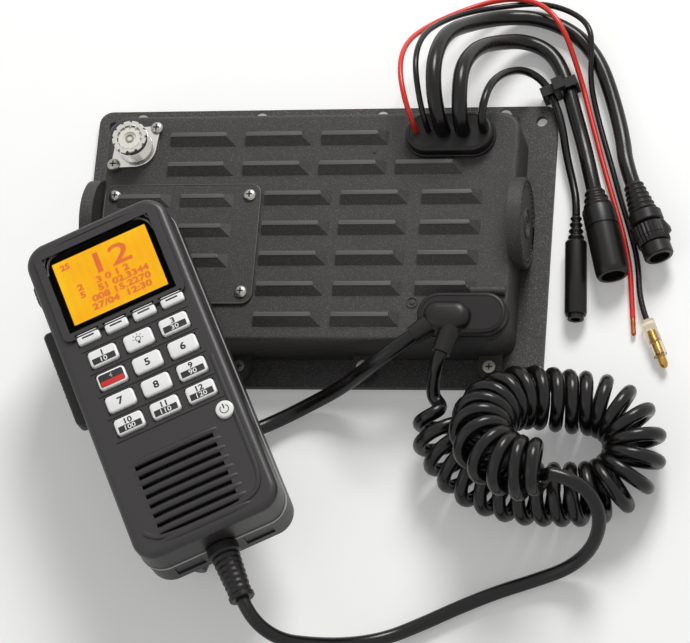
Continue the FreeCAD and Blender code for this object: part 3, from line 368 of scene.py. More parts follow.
def outline(length, width, corner, per_corner=7):
    """A rectangle with round corners about the origin, as points by 2: four quarter circles."""
    corner = min(corner, length / 2 - 1e-3, width / 2 - 1e-3)
    t = np.linspace(0, np.pi / 2, per_corner)
    turns = [(1, 1, 0), (-1, 1, 1), (-1, -1, 2), (1, -1, 3)]
    corners = [np.stack([a * (length / 2 - corner) + corner * np.cos(t + q * np.pi / 2),
                         b * (width / 2 - corner) + corner * np.sin(t + q * np.pi / 2)], axis=-1)
               for a, b, q in turns]
    return np.concatenate(corners)


def block(x, y, length, width, corner, levels, per_corner=7):
    """Stacked outlines about a place: each level is a height and how far the outline draws in."""
    return loft([at_height(outline(length - 2 * inset, width - 2 * inset, corner - inset * 0.6,
                                   per_corner) + (x, y), height) for height, inset in levels])


def eased(low, high, soft, both=True):
    """Levels from low to high whose ends are rounded by a quarter circle of radius soft."""
    t = np.linspace(0, np.pi / 2, 5)
    top = [(high - soft + soft * math.sin(a), soft * (1 - math.cos(a))) for a in t]
    bottom = [(low + soft - soft * math.sin(a), soft * (1 - math.cos(a))) for a in t[::-1]]
    return (bottom if both else [(low, 0)]) + top


def frames_along(path):
    """Unit tangents and two square directions that turn as little as they can along a path."""
    path = np.asarray(path, float)
    ways = np.gradient(path, axis=0)
    ways /= np.linalg.norm(ways, axis=1)[:, None]
    sides = np.empty_like(path)
    sides[0] = square_to(ways[0])[1]
    for step in range(1, len(path)):
        carried = sides[step - 1] - ways[step] * (sides[step - 1] @ ways[step])
        sides[step] = unit(carried)
    return ways, sides, np.cross(ways, sides)


def circles(side, other, sides):
    """For each point of a path, the unit circle side cos t + other sin t."""
    t = full_turn(sides)
    return side[:, None, :] * np.cos(t)[:, None] + other[:, None, :] * np.sin(t)[:, None]


def tube(path, radius, sides=14):
    """A round tube about a path, with the least twist. The radius is one number or one a point."""
    ways, side, other = frames_along(path)
    radius = np.broadcast_to(radius, len(path))
    return loft(np.asarray(path)[:, None, :] + radius[:, None, None] * circles(side, other, sides))


def beading(path, radius, sides=10):
    """A round bead carried round a closed level path."""
    ways = np.roll(path, -1, axis=0) - np.roll(path, 1, axis=0)
    ways /= np.linalg.norm(ways, axis=1)[:, None]
    up = np.broadcast_to((0.0, 0.0, 1.0), path.shape)
    return loop(path[:, None, :] + radius * circles(np.cross(ways, up), up, sides))


def taken(holder):
    """The points in millimetres and the faces of an object, which is then removed."""
    mesh = bpy.data.meshes.new_from_object(holder)
    points = np.empty(len(mesh.vertices) * 3)
    mesh.vertices.foreach_get("co", points)
    faces = [list(face.vertices) for face in mesh.polygons]
    bpy.data.objects.remove(holder)
    bpy.data.meshes.remove(mesh)
    return points.reshape(-1, 3) / MM, faces


print("shape functions ready")

# %% [markdown]
# A piece is one or more shapes in one mesh. Its faces are turned outwards, edges sharper than
# 35 degrees stay crisp, and each shape may have its own finish. The piece rides on a body, and
# where it stands for a solid of the frame, that solid is hidden. The solids that stay get a finish
# here.

# %% Pieces
def piece(name, shapes, finishes, body="root", replaces=(), smooth=35):
    """A mesh made of shapes in millimetres, with one finish or one for each shape.

    With no body it rides on nothing."""
    if not isinstance(finishes, (list, tuple)):
        finishes = [finishes] * len(shapes)
    points, faces, tags = [], [], []
    names = list(dict.fromkeys(finishes))
    offset = 0
    for shape, tag in zip(shapes, finishes):
        points.append(np.asarray(shape[0], float))
        faces += [[corner + offset for corner in face] for face in shape[1]]
        tags += [names.index(tag)] * len(shape[1])
        offset += len(shape[0])
    mesh = bpy.data.meshes.new(name)
    mesh.from_pydata((np.concatenate(points) * MM).tolist(), [], faces)
    mesh.polygons.foreach_set("material_index", tags)
    work = bmesh.new()
    work.from_mesh(mesh)
    bmesh.ops.recalc_face_normals(work, faces=work.faces)
    work.to_mesh(mesh)
    work.free()
    mesh.polygons.foreach_set("use_smooth", [True] * len(mesh.polygons))
    mesh.set_sharp_from_angle(angle=math.radians(smooth))
    for tag in names:
        mesh.materials.append(FINISH[tag])
    thing = bpy.data.objects.new(name, mesh)
    scene.collection.objects.link(thing)
    if body:
        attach(thing, body)
    if replaces:
        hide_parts(*replaces)
    return thing


def turned(node, shapes, finishes, slot, body="root"):
    """A turned piece in place of the solid of a node."""
    return piece(node + "_turned", shapes, finishes, body, (node,))


DRESS = {"plate": "mounting_plate", "casting": "ribbed_case", "cover": "service_cover",
         "rubber": "case_gasket harness_gland cord_boot cable_tie", "nickel": "bracket_inserts",
         "screw": "case_screws", "dark_screw": "shell_screws", "board": "main_board keypad_board",
         "shell": "front_shell", "shell_back": "rear_shell", "seal": "shell_bead",
         "glass": "display_window", "lcd": "lcd_panel", "mat": "keypad_mat",
         "speaker": "loudspeaker microphone", "sleeve": "bullet_sleeve"}
for finish_name, node_names in DRESS.items():
    for node_name in node_names.split():
        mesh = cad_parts[node_name].data
        mesh.materials.clear()
        mesh.materials.append(FINISH[finish_name])
print("nodes dressed")

# %% [markdown]
# A real cord lies in even bends. Its line is a NURBS curve of order 3, which starts and ends on
# given points and passes smoothly beside the others. Points are read back from the curve, so
# that its length can be measured and a tube can follow it.

# %% Smooth lines
def smooth_curve(name, points, bevel=0.0):
    """A NURBS curve of order 3 with control points and a bevel radius in millimetres."""
    data = bpy.data.curves.new(name, "CURVE")
    data.dimensions = "3D"
    data.resolution_u = 20
    data.bevel_depth = bevel * MM
    data.bevel_resolution = 5
    data.use_fill_caps = bevel > 0
    spline = data.splines.new("NURBS")
    spline.points.add(len(points) - 1)
    spline.points.foreach_set("co", np.column_stack([np.array(points) * MM,
                                                     np.ones(len(points))]).ravel())
    spline.order_u = 3
    spline.use_endpoint_u = True
    thing = bpy.data.objects.new(name, data)
    scene.collection.objects.link(thing)
    return thing


def line_of(points):
    """The points that the smooth curve passes, in millimetres, read from the curve itself."""
    line = taken(smooth_curve("guide", points))[0]
    return line if np.linalg.norm(line[0] - points[0]) < 1 else line[::-1]


def length_of(line):
    """The length of a line in metres."""
    return float(np.linalg.norm(np.diff(line, axis=0), axis=1).sum() * MM)


def even(line, step):
    """A line's points spaced evenly by a step, in millimetres."""
    run = np.concatenate([[0], np.cumsum(np.linalg.norm(np.diff(line, axis=0), axis=1))])
    at = np.arange(0, run[-1], step)
    return np.column_stack([np.interp(at, run, line[:, axis]) for axis in range(3)])


print("line functions ready")

# %% [markdown]
# The handset is described in its own frame: back down, face up, Y along its length. One function
# turns a shape by 26 degrees and carries it to its place on the box. The face lies 33.2 mm above
# the back, and the keys stand 1.5 mm proud of it.

# %% Handset frame
HAND_AT = np.array([-52.2, -82.9, 30.1])
FACE = 33.2
KEY_FLOOR = 28.7
KEY_TOP = 34.7
HAND_X = np.array([math.cos(HAND_TURN), math.sin(HAND_TURN), 0])
HAND_Y = np.array([-math.sin(HAND_TURN), math.cos(HAND_TURN), 0])


def on_hand(shape):
    """A shape of the handset's own frame, turned and carried to its place in the shared frame."""
    points = np.asarray(shape[0], float)
    turned = points[:, :1] * HAND_X + points[:, 1:2] * HAND_Y
    turned[:, 2] += points[:, 2]
    return turned + HAND_AT, shape[1]


def hand_piece(name, shapes, finishes, body="handset", replaces=()):
    """A piece whose shapes are given in the handset's own frame."""
    return piece(name, [on_hand(shape) for shape in shapes], finishes, body, replaces)


def bar(x, y, length, width, low, high, corner=0.3, soft=0.1):
    """A small flat bar of the handset's face."""
    return block(x, y, length, width, corner, eased(low, high, soft, both=False), 4)


print("handset frame ready")

# %% [markdown]
# A key is a moulded cap: a skirt that hides under the face, straight sides, and a top edge that
# rounds over in three steps to a flat print area. The print is plain figures, bars and a lamp
# sign, as thin solids, so that they travel with the key.

# %% Keys
CAP_LEVELS = [(KEY_FLOOR, -0.9), (KEY_FLOOR + 1.2, -0.9), (KEY_FLOOR + 1.21, 0), (34.1, 0),
              (34.4, 0.14), (34.6, 0.42), (KEY_TOP, 0.95)]
PRINT = KEY_TOP + 0.01
KEY_CENTRE, COLUMN_PITCH, ROW_PITCH, FIRST_ROW = 1.5, 16.6, 11.3, 16
KEY_SIZE = (13, 7.6)
SOFT_SIZE, SOFT_PITCH, SOFT_ROW = (10.4, 5), 13.1, 27
POWER_AT = (24.5, -30)
FONT_SHARE, FIGURE_THICK = 1.4, 0.06
BARRED = {1, 3, 9, 10, 11, 12}
LAMP_KEY, RED_KEY = 2, 4


def figures(text, height, x, y, level=PRINT, bold=0.06, wide=1.0):
    """Plain figures as a thin solid, centred on a place and level, of a height in millimetres."""
    curve = bpy.data.curves.new("figures", "FONT")
    curve.body = text
    curve.size = height * MM * FONT_SHARE
    curve.extrude = FIGURE_THICK * MM / 2
    curve.offset = bold * MM
    curve.resolution_u = 3
    holder = bpy.data.objects.new("figures", curve)
    scene.collection.objects.link(holder)
    points, faces = taken(holder)
    points -= (points.max(0) + points.min(0)) / 2
    return points * (wide, 1, 1) + (x, y, level), faces


def lamp_sign(x, y):
    """A small lamp: a ring, a foot and five rays."""
    t = full_turn(24)
    low = PRINT - 0.1
    ring = at_height(np.column_stack([x + 1.1 * np.cos(t), y + 0.3 + 1.1 * np.sin(t)]), low)
    foot = bar(x, y - 1.4, 1.1, 1.0, PRINT - 0.05, PRINT + 0.03, 0.1, 0.02)
    rays = []
    for angle in np.linspace(0, np.pi, 5):
        way = np.array([math.cos(angle), math.sin(angle), 0])
        base = np.array([x, y + 0.3, low])
        rays.append(tube(np.array([base + 1.7 * way, base + 2.1 * way, base + 2.6 * way]), 0.18, 6))
    return [beading(ring, 0.2, 6), foot] + rays


def key_print(number, x, y):
    """The print of one of the twelve keys: shapes and their finishes."""
    label = str(number)
    if number == LAMP_KEY:
        signs = lamp_sign(x, y)
        return signs, ["ink"] * len(signs)
    if number == RED_KEY:
        return ([bar(x, y, 11.2, 5.8, KEY_TOP - 0.05, PRINT, 0.8, 0.02),
                 bar(x, y - 1.5, 10.4, 2.4, KEY_TOP, PRINT + 0.03, 0.4, 0.02),
                 figures(label, 2.0, x, y + 1.3, PRINT + 0.03)], ["ink", "red_ink", "seal"])
    if number in BARRED:
        return ([figures(label, 2.5, x, y + 1.6, bold=0.1, wide=1.2),
                 bar(x, y - 1.45, 10.6, 2.9, KEY_TOP - 0.05, PRINT, 0.3, 0.02),
                 figures(f"{number}0", 2.2, x, y - 1.45, PRINT + 0.03, 0.04, 1.2)],
                ["ink", "ink", "key"])
    return [figures(label, 3.2, x, y, bold=0.14, wide=1.15)], ["ink"]


def make_keys():
    """Twelve keys in four rows, four soft keys and the round power key."""
    for number in range(1, 13):
        row, column = divmod(number - 1, 3)
        x = KEY_CENTRE + (column - 1) * COLUMN_PITCH
        y = FIRST_ROW - row * ROW_PITCH
        signs, inks = key_print(number, x, y)
        hand_piece(f"key_cap_{number}", [block(x, y, *KEY_SIZE, 1.7, CAP_LEVELS)] + signs,
                   ["key"] + inks, f"key_{number}", (f"key_{number}",))
    for number in range(1, 5):
        x = KEY_CENTRE + (number - 2.5) * SOFT_PITCH
        cap = block(x, SOFT_ROW, *SOFT_SIZE, 1.2, CAP_LEVELS)
        dash = bar(x, SOFT_ROW + 0.2, 5.6, 0.8, KEY_TOP - 0.05, PRINT, 0.2, 0.02)
        hand_piece(f"soft_key_cap_{number}", [cap, dash], ["key", "ink"],
                   f"soft_key_{number}", (f"soft_key_{number}",))
    x, y = POWER_AT
    dome = upright(x, y, 0, [(KEY_FLOOR, 4.9), (29.9, 4.9), (29.91, 4.0), (34.0, 4.0),
                             (34.35, 3.85), (34.6, 3.5), (KEY_TOP, 3.0)])
    t = np.linspace(math.radians(125), math.radians(415), 26)
    arc = at_height(np.column_stack([x + 1.85 * np.cos(t), y + 1.85 * np.sin(t)]), KEY_TOP - 0.2)
    stem = bar(x, y + 1.4, 0.6, 2.2, KEY_TOP - 0.05, PRINT + 0.03, 0.1, 0.02)
    hand_piece("power_key_cap", [dome, tube(arc, 0.3, 8), stem], ["key", "ink", "ink"],
               "power_key", ("power_key",))


make_keys()
print("keys made")

# %% [markdown]
# The display shows plain figures in a darker amber. They stand a tenth of a millimetre off the
# panel, under the window. A rounded lip runs round the window.

# %% Display
DISPLAY_ROWS = [("25", 2.6, -17, 62.5, 1.2), ("12", 9.8, 4, 58.2, 1.5),
                ("2    3 0 1 2", 2.9, -3, 50.6, 1.35), ("5    51 02.3344", 2.9, 1, 46.8, 1.3),
                ("008 15.2270", 2.9, 3, 43.0, 1.35), ("27/04  12:30", 2.9, 2, 39.2, 1.35)]
LCD_TOP = 32.8
WINDOW_AT, WINDOW_SIZE, LIP_LEVEL = (0, 50.5), (56.0, 44.0), 34.2
digits = [figures(text, height, x, y, LCD_TOP + 0.12, 0.16, wide)
          for text, height, x, y, wide in DISPLAY_ROWS]
hand_piece("display_figures", digits, "lcd_ink")
lip_path = at_height(outline(*WINDOW_SIZE, 3, 8) + WINDOW_AT, LIP_LEVEL)
hand_piece("window_lip", [beading(lip_path, 0.62, 10)], "shell")
print("display made:", len(digits), "rows of figures")

# %% [markdown]
# The face is not plain: a ridge frames the loudspeaker, three steps follow the top edge, low
# strips run between the rows of keys, and rounded bars lie between the grille's slots. All of
# them are tubes or bars half sunk into the face, so they read as one moulding.

# %% Face relief
def strip(points, radius, sides=10):
    """A rounded ridge along a smooth line, half sunk where the line lies in the face."""
    return tube(even(line_of(points), 1.0), radius, sides)


GRILLE_FIRST, GRILLE_PITCH, GRILLE_HALF = -38, 4.6, 20.5


def make_relief():
    """The ridges, steps, strips and grille bars of the face, in one piece."""
    level = FACE - 0.15
    frame_ridge = [(27.8, -4, level), (27.8, -30, level), (27.9, -52, level), (27.6, -63, level),
                   (24.5, -69.5, level), (16, -71.5, level), (0, -71.8, level),
                   (-15, -71.5, level), (-23, -70.5, level), (-26.5, -66, level)]
    shapes = [strip(frame_ridge, 1.1)]
    for step in range(3):
        reach, y = 24.5 - 1.2 * step, 74.0 - 1.7 * step
        half = [(reach + 3, y - 9, level), (reach + 2.2, y - 3.5, level), (reach - 3, y, level)]
        left = [(-across, up, high) for across, up, high in half]
        shapes.append(strip(left + [(0, y + 0.4, level)] + half[::-1], 0.65, 8))
    for row in range(5):
        y = FIRST_ROW + ROW_PITCH / 2 - row * ROW_PITCH
        shapes.append(bar(KEY_CENTRE, y, 50, 0.7, FACE - 0.2, FACE + 0.4))
    for number in range(9):
        y = GRILLE_FIRST + GRILLE_PITCH * (0.5 - number)
        low, high = [-2 + 0.2 * number + side * GRILLE_HALF for side in (-1, 1)]
        shapes.append(strip([(low, y, FACE - 1.8), (low + 3, y, FACE - 0.8),
                             ((low + high) / 2, y, FACE - 0.7), (high - 3, y, FACE - 0.8),
                             (high, y, FACE - 1.8)], 1.75, 16))
    hand_piece("face_relief", shapes, "shell")


make_relief()
print("face relief made")

# %% [markdown]
# On the left side are the long talk lever and a small key. Both are rounded blocks on a flange
# that keeps them in the shell, with grip ribs on the outer face. The foot carries the cord's
# plug: a collar and a ribbed sleeve that tapers to the cord, which is a turned profile whose
# radius falls and rises by a cosine.

# %% Side controls and plug
FLANGE_X, FLANGE_THICK = -29.3, 1.6


def side_control(name, x, y, length, width, low, high, ribs):
    """A rounded block that slides through the side wall, with grip ribs on its outer face."""
    edge = x - length / 2 + 0.1
    shapes = [block(x, y, length, width, 2.2, eased(low, high, 1.4)),
              block(FLANGE_X, y, FLANGE_THICK, width + 3, 0.3,
                    eased(low - 0.8, high + 0.8, 0.2), 3)]
    for at in ribs:
        shapes.append(tube([(edge, y + at, low + 2.2), (edge, y + at, (low + high) / 2),
                            (edge, y + at, high - 2.2)], 0.4, 8))
    hand_piece(name + "_moulded", shapes, "moulding", name, (name,))


def waved(length, first, last, ribs, depth, rows=60):
    """A profile that tapers from first to last, with round grooves cut into it.

    At each distance the radius is the taper less depth times (1 + cosine) / 2."""
    d = np.linspace(0, length, rows)
    taper = first + (last - first) * d / length
    return list(zip(d, taper - depth * (0.5 + 0.5 * np.cos(2 * np.pi * ribs * d / length))))


side_control("ptt_button", -33.55, 17, 7.9, 46, 17.9, 27.9, np.linspace(-8, 8, 5))
side_control("side_key", -32.05, 59, 4.9, 11, 18.9, 25.9, (-2, 0, 2))
plug_at = on_hand((np.array([[0.0, -78.0, 15.0]]), []))[0][0]
plug_profile = [(-5.6, 5.0), (0.25, 5.0), (0.3, 6.5), (0.8, 7.0), (4.4, 7.0), (4.9, 6.5)]
plug_profile += [(5.2 + d, r) for d, r in waved(18, 6.3, 5.1, 7, 0.3)]
plug_profile += [(24, 5.6), (25.6, 5.5), (26, 5.0)]
cord_plug = turned("cord_plug", [lathe(plug_at, -HAND_Y, plug_profile)], "rubber",
                   "black_rubber", "handset")
print("side controls and plug made")

# %% [markdown]
# The antenna socket is turned brass with bright plating: a flange drawn out to its two screws, a
# threaded barrel, and a rim cut into teeth. The thread is one formula on the barrel's grid: the
# radius falls with the height and the angle together, which winds it. The heads of the screws are
# turned too, with a dark cross set into each: painted shade of the cross slot.

# %% Antenna socket and screws
SOCKET = np.array([-80, 38])
COVER = np.array([-56, -8.8])
CASE_FACE = 26.8
CASE_SCREWS_X, CASE_SCREWS_Y = (-84, -28, 28, 84), 59.5


def hull(rings, inset):
    """The outline round several circles: in each direction, the circle that reaches furthest."""
    t = full_turn(96)
    way = np.column_stack([np.cos(t), np.sin(t)])
    centres, radii = np.array(rings, float)[:, :2], np.array(rings, float)[:, 2] - inset
    furthest = np.argmax(way @ centres.T + radii, axis=1)
    return centres[furthest] + radii[furthest][:, None] * way


def make_socket():
    """The flange drawn out to its two screws, the threaded barrel and the white insulator."""
    x, y = SOCKET
    reach = [(x, y, 9.8), (x - 7.3, y - 6.9, 3.2), (x + 7.3, y + 6.9, 3.2)]
    flange = loft([at_height(hull(reach, inset), level)
                   for level, inset in eased(CASE_FACE, CASE_FACE + 2, 0.5, both=False)])
    foot, rim, top, bore = CASE_FACE + 1.5, 36.6, 39.8, 5.7
    barrel = [(z, 7.9) for z in np.linspace(foot, rim, 110)]
    barrel += [(rim + 0.2, 7.3), (37.0, 7.3), (37.2, 7.9), (39.4, 7.9), (top, 7.5), (top, 6.1),
               (39.5, bore), (33.0, bore)]

    def thread(z, t):
        """Round thread below the rim and twelve teeth in it."""
        wound = -0.28 * (1 + np.cos(2 * np.pi * (z - foot) / 1.25 - t)) * (z < rim)
        return wound - 0.7 * (np.cos(12 * t) > 0.55) * (z > 39)

    insulator = [(33, 2.1), (33, 5.5), (38.5, 5.5), (38.8, 5.2), (38.8, 2.9), (38.3, 2.7),
                 (38.3, 2.1)]
    contact = [(30, 2.0), (38.8, 2.0), (39.0, 1.8), (39.0, 1.4), (38.8, 1.25), (35, 1.2)]
    turned("antenna_socket", [flange, upright(x, y, 0, barrel, 144, thread)], "nickel",
           "bright_metal")
    turned("antenna_insulator", [upright(x, y, 0, insulator)], "insulator", "insulator_white")
    turned("antenna_contact", [upright(x, y, 0, contact)], "screw", "brass_contact")


CROSS = ((2.9, 0.7), (0.7, 2.9))


def cross_head(x, y, seat, radius=2.8, height=1.8):
    """A domed screw head with a dark cross on it, painted shade of its slot, and its shank."""
    head = upright(x, y, seat, [(-2.5, 1.45), (-0.01, 1.45), (0, radius), (height * 0.45, radius),
                                (height * 0.8, radius * 0.82), (height, radius * 0.45)], 28)
    # Dark bars in the shape of the cross: painted shade of the slot.
    slot_shade_arms = [block(x, y, a, b, 0.2, [(seat + height * 0.6, 0), (seat + height + 0.03, 0)], 3)
            for a, b in CROSS]
    return [head] + slot_shade_arms


def make_screws():
    """The cover's four screws, the socket's two, and the dark crosses of the case's screws: painted
    slot shade.
    """
    cover = [cross_head(COVER[0] + a * 31, COVER[1] + b * 23, 28.0)
             for a, b in ((-1, -1), (1, -1), (-1, 1), (1, 1))]
    socket = [cross_head(SOCKET[0] + a * 9.2, SOCKET[1] + a * 8.8, 28.8) for a in (-1, 1)]
    for name, group, slot in (("cover_screws", cover, "dark_screws"),
                              ("antenna_screws", socket, "bright_metal")):
        shapes = [shape for screw in group for shape in screw]
        turned(name, shapes, ["screw", "ink", "ink"] * len(group), slot)
    # Dark crosses on the case's screws: painted shade of their slots.
    case_slot_shades = [block(x, y, a, b, 0.2, [(9.3, 0), (9.65, 0)], 3)
               for x in CASE_SCREWS_X for y in (-CASE_SCREWS_Y, CASE_SCREWS_Y) for a, b in CROSS]
    piece("case_screw_slot_shades", case_slot_shades, "ink")


make_socket()
make_screws()
print("antenna socket and screws made")

# %% [markdown]
# Small castings finish the box: a toothed ring and a hub on each ear, a bead round each rubber
# moulding, a dome over the two leads, and the bosses of the face. The crest of each rib, with its
# lower edge and the stop at its end, and a bead along the edge of the cover are paler strips:
# painted highlight where light from above falls on them.

# %% Box details
EAR, TOOTH_REACH, EAR_FOOT = (98.5, 3, 21.0), 16.6, 3.9
GLAND_AT, BOOT_AT, BOSS_AT = (63.5, 42), (75, -43.5), (51.7, -36.4)


def hoop(centre, way, reach, radius, sides=10, count=64):
    """A round ring about a way: point = centre + R (cos a, sin a) swept with a small circle."""
    way, level, other = square_to(way)
    a = full_turn(count)
    out = level * np.cos(a)[:, None] + other * np.sin(a)[:, None]
    t = full_turn(sides)
    ring = out[:, None, :] * (reach + radius * np.cos(t))[None, :, None] \
        + way * (radius * np.sin(t))[None, :, None]
    return loop(np.asarray(centre, float) + ring)


def make_ears():
    """A toothed ring, an edge bead and a hub ring on the outer face of each ear."""
    for side, sign in (("left", -1), ("right", 1)):
        centre = np.array(EAR) * (sign, 1, 1)
        shapes = [hoop(centre, (1, 0, 0), 18.9, 0.6), hoop(centre, (1, 0, 0), 6.2, 0.7)]
        for a in full_turn(44):
            at = centre + TOOTH_REACH * np.array([0, math.cos(a), math.sin(a)])
            if at[2] > 5:
                shapes.append(lathe(at, (sign, 0, 0), [(-0.2, 0.75), (0.35, 0.6), (0.6, 0.25)], 8))
        shapes[0] = (np.maximum(shapes[0][0], [-np.inf, -np.inf, EAR_FOOT]), shapes[0][1])
        piece(f"ear_ring_{side}", shapes, "casting")


def stadium_bead(place, length, width, level, radius):
    """A bead round the foot of a rubber moulding with half-round ends."""
    return beading(at_height(outline(length, width, width / 2 - 0.1, 14) + place, level), radius)


RIB_TOP = 29.8
RIB_PITCH, RIB_SPACING, FIRST_RIB_Y = 14.35, 34.6, 41.6
RIBS_IN_ROW = (3, 4, 3, 3, 3, 3, 2)


def rib_crest(x, y, length):
    """The flat crest of a rib, a rounded lower edge and a stop, all paler: painted highlight."""
    low, high = x - length / 2 + 0.6, x + length / 2 - 4.6
    crest = block((low + high) / 2, y + 1.7, high - low, 1.9, 0.4,
                  eased(RIB_TOP - 0.1, RIB_TOP + 0.12, 0.1, both=False), 3)
    brow = tube(np.array([(low, y + 0.8, RIB_TOP - 0.12), (x, y + 0.8, RIB_TOP - 0.1),
                          (high, y + 0.8, RIB_TOP - 0.12)]), 0.3, 8)
    stop = upright(high - 0.3, y + 1.3, RIB_TOP - 0.2, [(0, 0.6), (0.3, 0.55), (0.42, 0.3)], 12)
    return [crest, brow, stop]


def make_face_details():
    """Beads and dome of the rubber mouldings, the bosses of the face, and the painted highlight
    strips.
    """
    rubber = []
    for place_at, top in ((GLAND_AT, 33.2), (BOOT_AT, 33.7)):
        rubber += [stadium_bead(place_at, 39, 19, CASE_FACE + 1.0, 0.8),
                   stadium_bead(place_at, 35.4, 15.4, top, 0.35)]
    rubber.append(block(69, -45.5, 21, 13.5, 6.5, eased(33.0, 38.4, 4.5, both=False), 12))
    piece("rubber_beads", rubber, "rubber")
    sunk = CASE_FACE - 0.2
    metal = [hoop((*BOSS_AT, CASE_FACE), (0, 0, 1), 2.3, 0.45, 8, 32),
             upright(*BOSS_AT, sunk, [(0, 1.1), (0.5, 1.1), (0.7, 0.7)], 20),
             upright(29.5, 35.1, sunk, [(0, 0.9), (0.5, 0.8), (0.7, 0.4)], 16),
             tube([(76, -31.3, CASE_FACE - 0.5), (77.5, -31.3, CASE_FACE + 0.4),
                   (85, -31.3, CASE_FACE + 0.5), (92.5, -31.3, CASE_FACE + 0.2)],
                  [0.4, 2.2, 2.4, 2.2], 16)]
    piece("face_bosses", metal, "casting")
    edge = at_height(outline(71.6, 56.6, 4.8, 8) + COVER, CASE_FACE + 1.1)
    # The cover's edge bead and the rib crests take the paler casting: painted highlight.
    painted_highlights = [beading(edge, 0.32, 8)]
    for row, count in enumerate(RIBS_IN_ROW):
        first = -49 if row < 2 else -3.3
        for column in range(count):
            length = 27 if row > 1 and column == 2 else 30.5
            painted_highlights += rib_crest(first + column * RIB_SPACING, FIRST_RIB_Y - row * RIB_PITCH, length)
    for row in range(3):
        y = COVER[1] + 20.5 - row * RIB_PITCH
        for side in (-1, 1):
            painted_highlights += rib_crest(COVER[0] + side * 14.5 - 3, y, 24.5)
    piece("painted_highlight_strips", painted_highlights, "edge")


make_ears()
make_face_details()
print("box details made")

# %% [markdown]
# The five cables leave the gland upwards, arch over the upper edge and come down beside the box,
# and the lead of the handset runs from the boot to a connector under it. Each one is a bevelled
# smooth line, and its length is measured from that line. The last two points lie on the
# connector's own axis, so the cable enters it straight.

# %% Cable routes
GLAND_Z = 33.3
FLOOR_THICK = 3.6
ROUTES = {
    "power_cable": [
        (61, 42, GLAND_Z), (61, 42, 41.5), (59, 53, 50.5), (58, 70, 50), (60, 88, 37.5),
        (68, 102, 17.5), (81, 110.5, 5.5), (97, 110, FLOOR_THICK), (113, 102, FLOOR_THICK),
        (124, 88, FLOOR_THICK), (131, 69, FLOOR_THICK), (136.3, 50, 5), (138.9, 35.3, 8.9),
        (142.5, 26, 8.9)],
    "network_cable": [
        (70, 42, GLAND_Z), (70, 42, 41), (70, 52, 48), (70, 67, 46.5), (73, 82, 33),
        (79, 93, 15.5), (90, 98.5, 5), (102, 93, 4), (109, 80, 4.9), (113.7, 64, 4.9),
        (118.7, 48, 4.4), (122.7, 33.7, 7.5), (125.2, 24, 7.5)],
    "alarm_cable": [
        (79, 42, GLAND_Z), (79, 42, 39.5), (80, 50, 44), (82, 62, 39.5), (86, 73, 27),
        (92, 80, 14), (99.5, 77.5, 7.5), (105, 68, 6.2), (109, 56, 5.6), (111.5, 42, 4),
        (115.3, 28, 3.5), (117.15, 20, 5), (117.5, 13, 5)],
    "red_wire": [
        (49, 42, GLAND_Z), (49, 42, 39.5), (45, 53, 46.5), (41.5, 69, 45), (41.5, 86, 33),
        (47, 101, 17), (58, 113, 6), (72, 120, 2.4), (87, 120, 5), (100, 112, 11.2),
        (108, 101, 11.2), (112.6, 89, 5), (116.3, 78, 1.5), (119.7, 66, 1.4), (123.8, 52, 1.4),
        (128.2, 37, 1.4), (133, 22, 1.4), (138.2, 6, 1.4), (142, -10, 1.4), (143.2, -22.1, 1.4),
        (144.4, -34, 1.4)],
    "black_wire": [
        (54.5, 42, GLAND_Z), (54.5, 42, 40.5), (52, 53, 49), (49.5, 69, 50.5), (50, 85, 41),
        (55, 99, 25.5), (64, 110, 12), (78, 116.5, 3.8), (95, 118.7, 2.4), (110, 112.5, 6),
        (120, 102, 11.4), (121, 90, 10), (120, 79, 3.5), (122.9, 66, 1.5), (127, 52, 1.5),
        (131.5, 38, 1.5), (136, 23, 1.5), (141, 8, 1.5), (145.6, -8, 1.7), (147.2, -26.75, 3.1),
        (151, -36, 3.1)],
    "accessory_lead": [
        (54.2, -54.1, 32.6), (47, -59.5, 32.6), (34.5, -66, 26), (20, -71, 13), (5, -76, 5.5),
        (-9, -83, 4.2), (-19.5, -89.5, 8), (-26, -98.5, 14.9), (-29, -108, 14.9)],
}
RADII = {"power_cable": 3.5, "network_cable": 3.5, "alarm_cable": 1.8, "red_wire": 1.2,
         "black_wire": 1.3, "accessory_lead": 3.2}
for cable_name, points in ROUTES.items():
    red = cable_name == "red_wire"
    cable = smooth_curve(cable_name + "_smooth", points, RADII[cable_name])
    cable.data.materials.append(FINISH["red" if red else "jacket"])
    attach(cable, "root")
    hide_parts(cable_name)
    print(cable_name, round(length_of(line_of(points)), 3), "m")

# %% [markdown]
# The handset's cord is one cord from the boot to the plug. Its middle is wound: a helix about a
# smooth guide line, that starts and ends by drawing the turns in. Where the guide bends, the
# pitch opens a little, because the turns meet at the inside of the bend.

# %% Curly cord
CORD_ROUTE = [
    (67.2, -61.76, 32.6), (65.7, -66.5, 32.6), (62.67, -74.34, 24), (64, -82, 18.5),
    (68, -97, 15.5), (80, -111, 14.1), (98, -118, 14.1), (118, -119, 14.1), (138, -118, 14.1),
    (150, -106.5, 14.1), (150, -90, 14.1), (138, -79, 15), (121, -78, 17), (100, -78, 25),
    (88.5, -89, 34.5), (88.5, -105, 43.5), (99, -116, 45.2), (116, -119, 44.5),
    (125.5, -120.68, 44.11), (135.5, -125, 40), (140, -134, 30), (135, -143, 17),
    (124, -149, 7), (109, -153.5, 3.2), (93, -159, 3.2), (77, -166, 3.2), (61, -174, 3.3),
    (47, -181, 5.5), (33, -186, 13), (20, -189.5, 25), (8, -191, 36), (-2.66, -184.46, 45.1),
    (-6.61, -176.37, 45.1)]
COIL_FROM = (64, -80, 20)
COIL_TO = (116, -119, 44.5)
CURL_RADIUS = 11.0
CORD_RADIUS = 3.0
